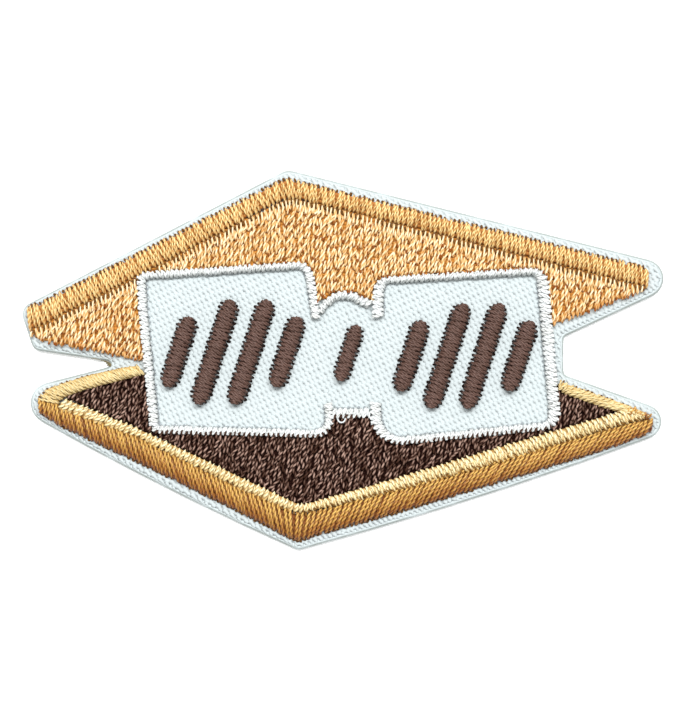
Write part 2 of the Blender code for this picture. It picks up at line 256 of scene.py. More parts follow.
# Yarn floats: thickness, stations, distance of their ends and sides from the cut edge, how far from their
# middle they are tested for stitching, and points each way from the middle of their lattice
FLOAT_THICKNESS = 0.12
FLOAT_STATIONS = 7
FLOAT_END_MARGIN = 0.27
FLOAT_SIDE_MARGIN = 0.24
FLOAT_TEST_REACH = 0.55
LATTICE_REACH = (80, 60)

# How much more a strand's own shade changes red, green and blue, and the relief's depth in metres
STRAND_HUES = np.array([0.9, 1.1, 1.5])
BUMP_DEPTH = 0.02 * MM

# Stage: the key light in metres, the floor in millimetres
KEY_DISTANCE = 0.70
KEY_ELEVATION = math.radians(66.0)
KEY_SIZE = (0.70, 0.16)
FLOOR_REACH = 900.0
FLOOR_LEVEL = -0.05
FLOOR_GLOW = 0.26


def srgb(red, green, blue):
    """Screen colour from 0 to 255 as a linear colour with alpha 1."""
    share = np.array([red, green, blue]) / 255.0
    linear = np.where(share <= 0.04045, share / 12.92, ((share + 0.055) / 1.055) ** 2.4)
    return (*linear.tolist(), 1.0)


def colour_property(name, description, red, green, blue):
    """Colour swatch whose default is a screen colour from 0 to 255."""
    return bpy.props.FloatVectorProperty(
        name=name, description=description, subtype="COLOR", size=4, min=0.0, max=1.0,
        default=srgb(red, green, blue),
    )


def length_property(name, description, millimetres):
    """Length in metres whose default is given in millimetres."""
    return bpy.props.FloatProperty(
        name=name, description=description, unit="LENGTH", precision=5, min=0.0,
        default=millimetres * MM,
    )


class PatchThreads(bpy.types.PropertyGroup):
    """Sizes of the embroidery thread and of its stitches."""

    satin_width: length_property("Satin strand width", "Width of a strand in a satin column", 0.31)
    satin_height: length_property("Satin strand height", "Thickness of a strand in a satin column", 0.26)
    satin_pitch: length_property("Satin pitch", "Distance between needle points along a satin column", 0.46)
    rim_pitch: length_property("Pale rim pitch", "Distance between needle points along a pale rim", 0.50)
    fine_width: length_property("Fine strand width", "Width of a strand in the brown bars", 0.38)
    fine_height: length_property("Fine strand height", "Thickness of a strand in the borders and bars", 0.19)
    fine_pitch: length_property("Fine pitch", "Distance between needle points along a bar", 0.38)
    fill_width: length_property("Fill strand width", "Width of a strand in filled stitching", 0.38)
    fill_height: length_property("Fill strand height", "Thickness of a strand in filled stitching", 0.32)
    fill_row: length_property("Fill row pitch", "Distance between rows of filled stitching", 0.37)
    fill_stitch: length_property("Fill stitch", "Length of a stitch in filled stitching", 1.12)
    fill_lean: length_property("Fill lean", "How far a fill stitch leans to one side of its row", 0.08)
    ply: length_property("Satin ply twist", "Length of one turn of the two plies of a satin strand", 1.10)
    fill_ply: length_property("Fill ply twist", "Length of one turn of the plies in the cracker's face", 1.50)
    band_width: length_property("Light band strand width", "Width of a strand in the light band", 0.47)
    band_pitch: length_property("Light band pitch", "Distance between needle points in the light band", 0.53)
    dark_width: length_property("Chocolate strand width", "Width of a strand in the chocolate", 0.40)
    dark_row: length_property("Chocolate row pitch", "Distance between rows in the chocolate", 0.38)
    dark_ply: length_property("Chocolate ply twist", "Length of one turn of the plies in the chocolate", 1.20)
    dark_stitch: length_property("Chocolate stitch", "Length of a stitch in the chocolate", 0.86)
    border_width: length_property("Border strand width", "Width of a strand in the white borders", 0.43)
    border_pitch: length_property("Border pitch", "Distance between needle points along a white border", 0.48)
    side_width: length_property("Side strand width", "Width of a strand in the amber side", 0.39)
    side_pitch: length_property("Side pitch", "Distance between needle points along the amber side", 0.52)


class PatchCloth(bpy.types.PropertyGroup):
    """Sizes of the twill weave."""

    wale_angle: bpy.props.FloatProperty(
        name="Wale angle", description="Direction of the twill's diagonal ribs", subtype="ANGLE",
        default=math.radians(23.0),
    )
    float_angle: bpy.props.FloatProperty(
        name="Float angle", description="Direction of the yarns that show on the face", subtype="ANGLE",
        default=math.radians(-50.0),
    )
    along: length_property("Float spacing", "Distance between yarn floats along a rib", 0.476)
    between: length_property("Rib spacing", "Distance between neighbouring ribs", 0.676)
    float_length: length_property("Float length", "Length of a yarn float", 0.92)
    float_width: length_property("Float width", "Width of a yarn float at its ends", 0.95)
    float_waist: bpy.props.FloatProperty(
        name="Float waist", description="Share by which a float is drawn in half way", default=0.55,
        min=0.0, max=0.9,
    )


class PatchColours(bpy.types.PropertyGroup):
    """Colours of the thread and cloth."""

    cracker: colour_property("Cracker face", "Thread of the upper cracker's face", 222, 189, 130)
    rim: colour_property("Golden rim", "Thread of the upper cracker's rim", 212, 174, 104)
    pale: colour_property("Pale band", "Thread of the lower cracker's light edge", 219, 199, 144)
    low_rim: colour_property("Pale rim", "Thread of the lower cracker's short rims", 206, 184, 130)
    amber: colour_property("Amber side", "Thread of the lower cracker's side", 172, 116, 45)
    chocolate: colour_property("Chocolate", "Thread of the chocolate layer", 80, 54, 42)
    toast: colour_property("Toast", "Thread of the toasting bars", 86, 62, 53)
    white: colour_property("White thread", "Thread of the marshmallows' borders", 204, 207, 206)
    twill: colour_property("Twill", "Face of the white cloth", 191, 200, 201)
    floor: colour_property("Floor", "Floor under the patch", 250, 250, 250)


class PatchStage(bpy.types.PropertyGroup):
    """Camera and light."""

    lens: bpy.props.FloatProperty(
        name="Lens", description="Focal length of the camera in millimetres", default=100.0, min=10.0,
    )
    frame_height: length_property("Frame height", "Height of the view at the patch", 72.0)
    key_power: bpy.props.FloatProperty(
        name="Key light", description="Power of the large light above the picture", unit="POWER",
        default=7.6, min=0.0,
    )
    world_strength: bpy.props.FloatProperty(
        name="Sky", description="Strength of the even light from all round", default=0.62, min=0.0,
    )


# Plan geometry

def cumulative(points):
    """Distance run at each point of a path: the running sum of the lengths of its steps."""
    return np.concatenate([[0.0], np.cumsum(np.linalg.norm(np.diff(points, axis=0), axis=1))])


def along_path(run, points, places):
    """Points at given distances along a path, by linear interpolation of each coordinate."""
    places = np.asarray(places)
    return np.stack([np.interp(places, run, points[:, k]) for k in range(points.shape[1])], axis=-1)


def unit(vectors):
    """Vectors scaled to the length 1."""
    return vectors / np.linalg.norm(vectors, axis=-1, keepdims=True)


def heading(angle):
    """Unit vectors in the plan at an angle, or at each of an array of angles, from +X."""
    return np.stack([np.cos(angle), np.sin(angle)], axis=-1)


def left_of(direction):
    """Unit vectors a quarter turn anticlockwise from plan directions: (x, y) becomes (-y, x)."""
    length = np.linalg.norm(direction, axis=-1, keepdims=True)
    return np.stack([-direction[..., 1], direction[..., 0]], axis=-1) / np.maximum(length, 1e-9)


def inside(points, polygon):
    """Even-odd rule: from an inside point a ray to +X crosses an odd number of the polygon's sides."""
    polygon = np.asarray(polygon, float)[:, :2]
    after = np.roll(polygon, -1, axis=0)
    x, y = points[..., 0, None], points[..., 1, None]
    straddles = (polygon[:, 1] > y) != (after[:, 1] > y)
    rise = after[:, 1] - polygon[:, 1]
    rise = np.where(np.abs(rise) < 1e-12, 1e-12, rise)
    crossing = polygon[:, 0] + (y - polygon[:, 1]) * (after[:, 0] - polygon[:, 0]) / rise
    return (straddles & (x < crossing)).sum(axis=-1) % 2 == 1


def rounded(corners, inset=0.0, least_radius=0.12):
    """Closed outline of arcs: each corner, moved inward by inset, is an arc that touches its two sides."""
    corners = np.asarray(corners, float)
    place, radius = corners[:, :2], np.maximum(corners[:, 2] - inset, least_radius)
    to_before, to_after = (unit(np.roll(place, step, axis=0) - place) for step in (1, -1))
    half = 0.5 * np.arccos(np.clip((to_before * to_after).sum(axis=1), -1.0, 1.0))
    centre = place + unit(to_before + to_after) * ((radius + inset) / np.sin(half))[:, None]
    outward = left_of(to_before)
    first = np.arctan2(outward[:, 1], outward[:, 0])
    turn = math.pi - 2.0 * half
    angle = first[:, None] + turn[:, None] * np.linspace(0.0, 1.0, CORNER_STEPS)
    return (centre[:, None] + radius[:, None, None] * heading(angle)).reshape(-1, 2)


def inward_of(outline):
    """Unit vectors into an anticlockwise outline at its points: a quarter turn left of its course there."""
    return left_of(np.roll(outline, -1, axis=0) - np.roll(outline, 1, axis=0))


def drawn_in(outline, inset):
    """Outline with each corner moved inward along its bisector, so that every side moves by the inset."""
    place = np.asarray(outline, float)
    before = place - np.roll(place, 1, axis=0)
    after = np.roll(place, -1, axis=0) - place
    inward = left_of(before) + left_of(after)
    return place + inward * (2.0 * inset / (inward ** 2).sum(axis=1, keepdims=True))


def border_pairs(corners, side_width):
    """Matching outer and inner points of a border that is open between two heights of its last side."""
    outer, inner = rounded(corners), rounded(corners, PANEL_BORDER)
    inner = outer + (inner - outer) * np.array([side_width / PANEL_BORDER, 1.0])
    pairs = np.stack([outer, inner], axis=1)
    first, last = pairs[0], pairs[-1]
    heights = BORDER_OPEN if first[0, 1] < last[0, 1] else BORDER_OPEN[::-1]
    shares = [(height - first[0, 1]) / (last[0, 1] - first[0, 1]) for height in heights]
    ends = [first + (last - first) * share for share in shares]
    return np.concatenate([ends[:1], pairs, ends[1:]])


def panel_outlines(inset, middle_inset=0.0):
    """Outlines of the left, the right and the middle marshmallow, drawn in."""
    return [rounded(LEFT_PANEL, inset), rounded(RIGHT_PANEL, inset), rounded(MIDDLE_PANEL, middle_inset)]


def panel_borders():
    """Pairs of the left and the right marshmallow's border."""
    return border_pairs(LEFT_PANEL, LEFT_SIDE_BORDER), border_pairs(RIGHT_PANEL, RIGHT_SIDE_BORDER)


def bar_pairs(centre, length, width):
    """Matching edge points of a straight slanted stroke; its ends narrow like half an ellipse."""
    along = heading(BAR_SLANT)
    across = np.array([-along[1], along[0]])
    place = np.linspace(-0.5, 0.5, BAR_STATIONS)
    end_share = width / 2.0 / length
    from_end = np.minimum(0.5 - np.abs(place), end_share) / end_share
    half = width / 2.0 * np.sqrt(np.clip(1.0 - (1.0 - from_end) ** 2, 0.12, 1.0))
    middle = np.array(centre) + place[:, None] * along * length
    return np.stack([middle + half[:, None] * across, middle - half[:, None] * across], axis=1)


def toast_bars():
    """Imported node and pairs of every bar: a row of four on each side marshmallow and one in the middle."""
    slots = (np.arange(len(BAR_LENGTHS)) - (len(BAR_LENGTHS) - 1) / 2.0) * BAR_SPACING
    bars = []
    for side, (x, y) in (("left", LEFT_BAR_CENTRE), ("right", RIGHT_BAR_CENTRE)):
        for number, (slot, length) in enumerate(zip(slots, BAR_LENGTHS), 1):
            bars.append((f"toast_bar_{side}_{number}", bar_pairs((x + slot, y), length, BAR_WIDTH)))
    bars.append(("toast_bar_middle", bar_pairs(MIDDLE_BAR_CENTRE, MIDDLE_BAR_LENGTH, MIDDLE_BAR_WIDTH)))
    return bars


def cloth_outline(step=0.30):
    """Cut edge of the cloth, evenly spaced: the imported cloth's top corners in order of their angle."""
    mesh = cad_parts["twill_ground"].data
    places = np.empty(len(mesh.vertices) * 3)
    mesh.vertices.foreach_get("co", places)
    places = places.reshape(-1, 3) / MM
    top = np.unique(places[places[:, 2] > CLOTH_TOP / 2.0][:, :2].round(4), axis=0)
    ring = top[np.argsort(np.arctan2(top[:, 1], top[:, 0]))]
    ring = np.concatenate([ring, ring[:1]])
    run = cumulative(ring)
    count = round(run[-1] / step)
    return along_path(run, ring, np.arange(count) * run[-1] / count)


# Strands of thread

def plan_lines(start, end, stations, bow):
    """Straight stitches in plan, (stitch, station, xy), with a sideways bow that is greatest half way.

    Stations stand closer towards both ends, where the strand dives into the cloth: their share is the
    mean of an even one and half a cosine wave.
    """
    even = np.linspace(0.0, 1.0, stations)
    share = 0.5 * even + 0.5 * (0.5 - 0.5 * np.cos(math.pi * even))
    chord = end - start
    line = start[:, None] + chord[:, None] * share[None, :, None]
    line += left_of(chord)[:, None] * (bow[:, None] * np.sin(math.pi * share))[..., None]
    return line, share


def raised(line, height, width, thick, tint, sunk, fall=0.0):
    """Set of strands: centre lines with heights, sizes, and the values that their material reads.

    Each strand's level axis lies a quarter turn left of its line and its upright axis is the line's direction
    crossed with that. tint is one number a strand; sunk is 0 at the crown and 1 in the cloth, where the
    material paints shade; fall is 1 on the side that turns from the light, where the material paints shade;
    lift is 1 where a ply runs on top.
    """
    shape = line.shape[:2]
    path = np.concatenate([line, np.broadcast_to(height, shape)[..., None]], axis=-1)
    step = np.gradient(path, axis=1)
    side = left_of(step[..., :2])
    side = np.concatenate([side, np.zeros((*shape, 1))], axis=-1)
    width, thick, sunk, fall = (np.broadcast_to(value, shape) for value in (width, thick, sunk, fall))
    tint = np.broadcast_to(np.asarray(tint)[:, None], shape)
    return {
        "path": path, "side": side, "up": np.cross(unit(step), side), "width": width, "thick": thick,
        "tint": tint, "sunk": sunk, "fall": fall, "lift": np.zeros(shape),
    }


def arch(share, low, high, power):
    """Height along a stitch: low + (high - low) * (1 - |2t - 1|^p)^(1/p); also how deep each station sits.

    low is one number for each stitch or one for each of its stations.
    """
    rise = (1.0 - np.abs(2.0 * share - 1.0) ** power) ** (1.0 / power)
    low = low if low.ndim == 2 else low[:, None]
    return low + (high[:, None] - low) * rise, 1.0 - rise


def run_along(path):
    """Distance run at each station of each path."""
    step = np.linalg.norm(np.diff(path, axis=1), axis=-1)
    return np.concatenate([np.zeros((len(path), 1)), np.cumsum(step, axis=1)], axis=1)


def plied(strands, twist, rng):
    """Every strand becomes two plies, each a right-handed helix round the strand's line.

    A ply's centre stands off by a share of the strand's width and thickness, turned by 2 pi for each
    twist length run; the second ply is half a turn behind the first.
    """
    count = len(strands["path"])
    turn = 2.0 * math.pi * (run_along(strands["path"]) / twist + rng.random(count)[:, None])
    halves = []
    for offset in (0.0, math.pi):
        half = dict(strands)
        level = (PLY_OFFSET * strands["width"] * np.cos(turn + offset))[..., None] * strands["side"]
        upright = (PLY_OFFSET * strands["thick"] * np.sin(turn + offset))[..., None] * strands["up"]
        half["path"] = strands["path"] + level + upright
        half["width"] = strands["width"] * PLY_SIZE
        half["thick"] = strands["thick"] * PLY_SIZE
        own = rng.uniform(-PLY_TINT, PLY_TINT, count)[:, None]
        half["tint"] = np.clip(strands["tint"] + own, 0.0, 1.0)
        half["lift"] = np.sin(turn + offset)
        halves.append(half)
    return merged(halves)


def merged(sets):
    """Several sets of strands as one."""
    return {key: np.concatenate([one[key] for one in sets]) for key in sets[0]}


def chosen(strands, mask):
    """The strands where mask is true."""
    return {key: value[mask] for key, value in strands.items()}


def ring_faces(index):
    """Quads between neighbouring rings; index holds point numbers, (thread, ring, place on the ring)."""
    around = np.roll(index, -1, axis=2)
    quads = np.stack([index[:, :-1], around[:, :-1], around[:, 1:], index[:, 1:]], axis=-1)
    return quads.reshape(-1, 4)


def strand_piece(name, sets, material, sides=5):
    """One mesh of many closed strands: an ellipse carried along each line, with flat ends.

    The UV map runs in millimetres along the strand and once round it. The value crest says how high a
    point stands on its strand: half of it comes from the ply's lift and half from the ellipse's angle,
    and it is 1 on top and 0 underneath.
    """
    strands = merged(sets)
    path, side, up = strands["path"], strands["side"], strands["up"]
    count, stations = path.shape[:2]
    angle = math.pi / 2.0 + 2.0 * math.pi * np.arange(sides) / sides
    level = side[:, :, None] * (np.cos(angle)[:, None] * strands["width"][:, :, None, None] / 2.0)
    upright = up[:, :, None] * (np.sin(angle)[:, None] * strands["thick"][:, :, None, None] / 2.0)
    points = path[:, :, None] + level + upright
    index = np.arange(count * stations * sides).reshape(count, stations, sides)
    caps = np.concatenate([index[:, 0, ::-1], index[:, -1]])

    run = np.broadcast_to(run_along(path)[:, :, None], index.shape)
    turn = np.broadcast_to(np.arange(sides) / sides, index.shape)
    grid = np.stack([run, turn], axis=-1)
    wrapped = np.stack([run, turn + 1.0 / sides], axis=-1)
    quad_uv = np.stack([grid[:, :-1], wrapped[:, :-1], wrapped[:, 1:], grid[:, 1:]], axis=-2).reshape(-1, 2)
    uv = np.concatenate([quad_uv, grid.reshape(-1, 2)[caps.ravel()]])
    values = {key: np.broadcast_to(strands[key][:, :, None], index.shape) for key in ("tint", "sunk", "fall")}
    # crest: the material paints highlights where it is high and shade in the grooves where it is low
    values["crest"] = 0.5 + 0.25 * (strands["lift"][:, :, None] + np.sin(angle))
    return mesh_piece(name, points.reshape(-1, 3), [ring_faces(index), caps], uv, values, material)


def mesh_piece(name, points, face_sets, uv, values, material):
    """Object at the origin from points in millimetres, faces, one UV per corner and point values."""
    mesh = bpy.data.meshes.new(name)
    loops = np.concatenate([faces.ravel() for faces in face_sets])
    sizes = np.concatenate([np.full(len(faces), faces.shape[1]) for faces in face_sets])
    starts = np.concatenate([[0], np.cumsum(sizes)[:-1]])
    mesh.vertices.add(len(points))
    mesh.vertices.foreach_set("co", (points * MM).ravel().astype(np.float32))
    mesh.loops.add(len(loops))
    mesh.loops.foreach_set("vertex_index", loops.astype(np.int32))
    mesh.polygons.add(len(sizes))
    mesh.polygons.foreach_set("loop_start", starts.astype(np.int32))
    mesh.polygons.foreach_set("use_smooth", np.ones(len(sizes), bool))
    layer = mesh.uv_layers.new(name="UVMap")
    layer.data.foreach_set("uv", uv.ravel().astype(np.float32))
    for key, array in values.items():
        attribute = mesh.attributes.new(key, "FLOAT", "POINT")
        attribute.data.foreach_set("value", array.ravel().astype(np.float32))
    mesh.update(calc_edges=True)
    mesh.validate()
    mesh.materials.append(material)
    piece = bpy.data.objects.new(name, mesh)
    bpy.context.scene.collection.objects.link(piece)
    return piece


def stitched_piece(name, sets, material, slot, *nodes):
    """Makes a piece of strands and finishes it."""
    finish_piece(strand_piece(name, sets, material), slot, *nodes)


def stitched_halves(name, sets, material, slot, *nodes):
    """A left and a right piece: each holds the strands that start on its side of the middle."""
    for side, sign in (("left", -1.0), ("right", 1.0)):
        half = [chosen(one, one["path"][:, 0, 0] * sign > 0.0) for one in sets]
        stitched_piece(f"{name}_{side}_stitches", half, material, slot, *nodes)


def finish_piece(piece, slot, *nodes):
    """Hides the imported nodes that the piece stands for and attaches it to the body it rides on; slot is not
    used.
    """
    if nodes:
        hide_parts(*nodes)
    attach(piece, BODY)


# Stitches

def mean_run(pairs):
    """Distance run along the middle of a column at each of its pairs."""
    return (cumulative(pairs[:, 0]) + cumulative(pairs[:, 1])) / 2.0


def satin_set(
    pairs, crown, rng, threads, fine=False, pitch=None, width=None, jitter=0.05, teeth=0.0, taper=0.22,
    point=(0.0, 0.0), contrast=0.0, power=2.4, outer_level=NEEDLE_LEVEL, inner_level=NEEDLE_LEVEL,
    inner_shade=False, stations=13,
):
    """Strands of one satin column: they zigzag between needle points on its two edges.

    Needle points on the outer edge stand a pitch apart, those on the inner edge lie half a pitch
    further on, and each strand rises from one and dives into the next, in an arch of the given power.
    Needle points stray by up to jitter, and every second one of an edge is drawn in by teeth. A strand
    narrows by taper towards its ends, and by point more at the outer and the inner edge, the more steeply it
    leads up or down the plan. contrast is the share by which strands that lead inward lie higher than those
    that lead back and get a lighter tint, so that lit and shaded strands alternate: a painted highlight and
    painted shade. outer_level and inner_level are the heights to which a strand dives. With inner_shade only
    an inner edge that lies below the outer one turns from the light; fall marks where the material paints
    shade.
    """
    pairs = np.asarray(pairs, float)
    outer, inner, run = pairs[:, 0], pairs[:, 1], mean_run(pairs)
    pitch = pitch or (threads.fine_pitch if fine else threads.satin_pitch) / MM
    strand_width = width or (threads.fine_width if fine else threads.satin_width) / MM
    thick = (threads.fine_height if fine else threads.satin_height) / MM
    count = max(3, round(run[-1] / pitch))
    place = np.linspace(0.0, run[-1], 2 * count - 1)
    place += rng.uniform(-jitter, jitter, len(place))
    needle = along_path(run, outer, place)
    needle[1::2] = along_path(run, inner, place[1::2])
    facing = along_path(run, inner, place)
    facing[1::2] = along_path(run, outer, place[1::2])
    pull = rng.uniform(-jitter, jitter, len(place)) + teeth * (np.arange(len(place)) // 2 % 2)
    needle += unit(facing - needle) * pull[:, None]

    start, end = needle[:-1], needle[1:]
    line, share = plan_lines(start, end, stations, rng.uniform(-SATIN_BOW, SATIN_BOW, len(start)))
    back = np.arange(len(start)) % 2
    high = crown - thick / 2.0 - rng.uniform(0.0, SATIN_SINK, len(start)) - RETURN_SINK * contrast * back
    from_inner = (back == 1)[:, None]
    outward = np.where(from_inner, share, 1.0 - share)
    low = inner_level + (outer_level - inner_level) * outward
    upward = unit((end - start) * np.where(from_inner, 1.0, -1.0))[:, 1:]
    # fall: where the material paints shade, on the side that turns from the light
    fall = (1.0 - outward) * np.clip(upward, 0.0, 1.0) if inner_shade else 0.5 + (0.5 - outward) * upward
    near_outer, near_inner = (np.clip(way * (2.0 * outward - 1.0), 0.0, 1.0) for way in (1.0, -1.0))
    narrowing = point[0] * near_outer + point[1] * near_inner
    height, sunk = arch(share, low, high, power)
    narrow = 1.0 - taper * (1.0 - np.sin(math.pi * share) ** 0.5) - narrowing * np.abs(upward)
    width = strand_width * narrow * rng.uniform(*SATIN_WIDTHS, len(start))[:, None]
    sunk = sunk * np.clip((crown - low) / (crown - NEEDLE_LEVEL), 0.0, 1.0)
    # Strands that lead inward get a lighter tint, a painted highlight; those that lead back a darker one, a
    # painted shade
    tint = (1.0 - contrast) * rng.random(len(start)) + contrast * (1.0 - back)
    return plied(raised(line, height, width, thick, tint, sunk, fall), threads.ply / MM, rng)


def underlay_set(pairs, crown, rng, lanes, stations):
    """Lengthwise padding under a satin column: flat strands side by side, in runs of a few millimetres."""
    pairs = np.asarray(pairs, float)
    run = mean_run(pairs)
    runs = max(1, round(run[-1] / PAD_RUN))
    edges = np.linspace(PAD_MARGIN, run[-1] - PAD_MARGIN, runs + 1)
    place = edges[:-1, None] + (edges[1:] - edges[:-1])[:, None] * np.linspace(0.0, 1.0, stations)
    outer = along_path(run, pairs[:, 0], place)
    inner = along_path(run, pairs[:, 1], place)
    lane = PAD_SIDE_SHARE + (1.0 - 2.0 * PAD_SIDE_SHARE) * (np.arange(lanes) + 0.5) / lanes
    line = (outer[None] + (inner - outer)[None] * lane[:, None, None, None]).reshape(-1, stations, 2)
    gap = np.linalg.norm(inner - outer, axis=-1)
    width = np.broadcast_to(gap[None] / lanes, (lanes, runs, stations)).reshape(-1, stations)
    bulge = PAD_SIDE_HEIGHT + (1.0 - PAD_SIDE_HEIGHT) * (1.0 - (2.0 * np.repeat(lane, runs) - 1.0) ** 2)
    level = NEEDLE_LEVEL + (crown - PAD_DEPTH - NEEDLE_LEVEL) * bulge - rng.uniform(0.0, PAD_SINK, len(line))
    # Low tints and a sunk of 0.85 give the padding the deep colour: painted shade under the satin
    tint = rng.random(len(line)) * 0.4
    return raised(line, level[:, None], width, PAD_THICKNESS, tint, sunk=0.85, fall=0.5)


def column_sets(pairs, crown, threads, seed, lanes=4, **options):
    """Satin strands of a column together with the padding under them."""
    rng = np.random.default_rng(seed)
    satin = satin_set(pairs, crown, rng, threads, **options)
    return [satin, underlay_set(pairs, crown, rng, lanes, satin["path"].shape[1])]


def column_outline(pairs):
    """Plan outline of a satin column: its outer edge and back along its inner edge."""
    pairs = np.asarray(pairs, float)
    return np.concatenate([pairs[:, 0], pairs[::-1, 1]])


def clipped(start, end, region, holes, steps=28):
    """Stitches cut to the part inside the region and outside every hole, where that is long enough to sew."""
    share = np.linspace(0.0, 1.0, steps)
    samples = start[:, None] + (end - start)[:, None] * share[None, :, None]
    held = inside(samples, region)
    for hole in holes:
        held &= ~inside(samples, hole)
    first = held.argmax(axis=1)
    last = steps - 1 - held[:, ::-1].argmax(axis=1)
    row = np.arange(len(start))
    start, end = samples[row, first], samples[row, last]
    long_enough = held.any(axis=1) & (np.linalg.norm(end - start, axis=1) > SHORTEST_STITCH)
    return start[long_enough], end[long_enough]


def fill_set(
    region, holes, row_angle, rng, threads, sizes, lower_edge=None, lean=1.0, spread=0.8, stations=9,
):
    """Filled stitching: rows of stitches end to end, each row shifted by a draw of its own.

    sizes are the distance between rows, a stitch's length, a strand's width and its plies' twist. Each stitch
    leans to the right by fill_lean times a normal draw round lean, with the deviation spread, so neighbouring
    stitches open and close small dark gaps. Close above lower_edge they turn from the light: their fall marks
    painted shade there.
    """
    region = np.asarray(region, float)
    row_pitch, stitch, strand_width, twist = (size / MM for size in sizes)
    along = heading(row_angle)
    across = np.array([along[1], -along[0]])
    middle = (region.min(axis=0) + region.max(axis=0)) / 2.0
    reach = np.linalg.norm(region.max(axis=0) - region.min(axis=0)) / 2.0 + stitch
    rows = np.arange(-math.ceil(reach / row_pitch), math.ceil(reach / row_pitch) + 1)
    steps = np.arange(-math.ceil(reach / stitch), math.ceil(reach / stitch) + 1)
    row, step = (grid.ravel() for grid in np.meshgrid(rows, steps, indexing="ij"))
    shift = rng.random(len(rows))[row - rows[0]]
    lean = threads.fill_lean / MM * rng.normal(lean, spread, len(row))
    x = row * row_pitch + rng.uniform(-ROW_STRAY, ROW_STRAY, len(row))
    y = (step + shift) * stitch + rng.uniform(-STITCH_STRAY, STITCH_STRAY, len(row))
    start = middle + (x - lean)[:, None] * across + y[:, None] * along
    end = middle + (x + lean)[:, None] * across + (y + stitch * STITCH_OVERLAP)[:, None] * along
    start, end = clipped(start, end, region, holes)

    line, share = plan_lines(start, end, stations, rng.uniform(-FILL_BOW, FILL_BOW, len(start)))
    thick = threads.fill_height / MM
    short = np.linalg.norm(end - start, axis=1) < SHORT_STITCH
    high = FILL_TOP - thick / 2.0 - rng.uniform(0.0, FILL_SINK, len(start)) - SHORT_SINK * short
    height, sunk = arch(share, np.full(len(start), FILL_FOOT), high, FILL_POWER)
    narrow = FILL_END_WIDTH + (1.0 - FILL_END_WIDTH) * np.sin(math.pi * share) ** 0.6
    width = strand_width * narrow * rng.uniform(*FILL_WIDTHS, len(start))[:, None]
    # Painted shade: darker towards the field's lower edge
    fall = 0.0
    if lower_edge is not None:
        edge = np.asarray(lower_edge, float)
        above = line[..., 1] - np.interp(line[..., 0], edge[:, 0], edge[:, 1])
        fall = np.clip(1.0 - above / SHADED_HEIGHT, 0.0, 1.0)
    return plied(raised(line, height, width, thick, rng.random(len(start)), sunk, fall), twist, rng)


def widened(pairs, length):
    """A column's pairs with their inner points moved further in by a length."""
    outer, inner = np.swapaxes(np.asarray(pairs, float), 0, 1)
    return np.stack([outer, inner + unit(inner - outer) * length], axis=1)


def edge_points(pairs, edge, pitch, between):
    """Points of a column's edge and the unit vectors that lead away from the column there.

    edge is 0 for the outer edge, whose needle points stand at whole steps, and 1 for the inner one, where
    they lie half a step further on. For between, the points are those half way from one to the next.
    """
    pairs = np.asarray(pairs, float)
    run = mean_run(pairs)
    steps = max(3, round(run[-1] / pitch)) - 1
    first = 0.5 if between == (edge == 0) else 1.0
    place = (np.arange(steps - 1) + first) * run[-1] / steps
    here = along_path(run, pairs[:, edge], place)
    away = here - along_path(run, pairs[:, 1 - edge], place)
    return here, unit(away)


def edge_set(pairs, region, holes, rng, threads, stations=9):
    """A row of separate stitches down from a column's inner edge, at the column's own pitch."""
    start, away = edge_points(pairs, 1, threads.satin_pitch / MM, between=False)
    away = unit(away + np.array([0.0, -1.0]))
    start = start + away * rng.uniform(-0.02, 0.10, len(start))[:, None]
    end = start + away * rng.uniform(*EDGE_LENGTHS, len(start))[:, None]
    end[:, 0] += rng.uniform(*EDGE_SWAY, len(start))
    start, end = clipped(start, end, region, holes)
    line, share = plan_lines(start, end, stations, rng.uniform(-FILL_BOW, FILL_BOW, len(start)))
    thick = threads.fill_height / MM
    high = FILL_TOP - thick / 2.0 - rng.uniform(0.0, FILL_SINK / 2.0, len(start))
    height, sunk = arch(share, np.full(len(start), UNDERLAY_CROWN), high, 3.0)
    width = EDGE_WIDTH * threads.fill_width / MM * rng.uniform(*EDGE_WIDTHS, len(start))[:, None]
    tint = rng.uniform(0.85, 1.0, len(start))
    return plied(raised(line, height, width, thick, tint, sunk), 1.5 * threads.fill_ply / MM, rng)


def loop_set(centre, radius, thick, stations=9):
    """A loose loop of thread: most of a circle that rises from the stitching and dips back into it."""
    share = np.linspace(0.0, 1.0, stations)
    line = np.array(centre) + radius * heading(LOOSE_LOOP_START + LOOSE_LOOP_TURN * share)
    height = FILL_TOP + thick * (2.0 * np.sin(math.pi * share) ** 0.5 - 1.0)
    return raised(line[None], height[None], thick, thick, np.ones(1), 0.0)


def gap_set(pairs, edge, pitch, rng, share, level, length, width, shift=0.0, lean=0.0, rise=(-1.0, 1.0)):
    """Dark bowls of painted shade in the gaps between the needle points of a column's edge, turned by lean
    from the way out of the column.

    share is the part of them that shows, and shift moves them away from the column. Only gaps whose
    way out of the column climbs the plan by a slope sine within rise are kept.
    """
    here, away = edge_points(pairs, edge, pitch, between=True)
    shown = (rng.random(len(here)) < share) & (away[:, 1] >= rise[0]) & (away[:, 1] <= rise[1])
    here, away = here[shown], away[shown]
    place = here + away * (shift + rng.uniform(-GAP_STRAY, GAP_STRAY, len(here)))[:, None]
    place += left_of(away) * rng.uniform(-GAP_STRAY, GAP_STRAY, len(here))[:, None]
    return gaps_at(place, away, rng, level, length, width, lean)


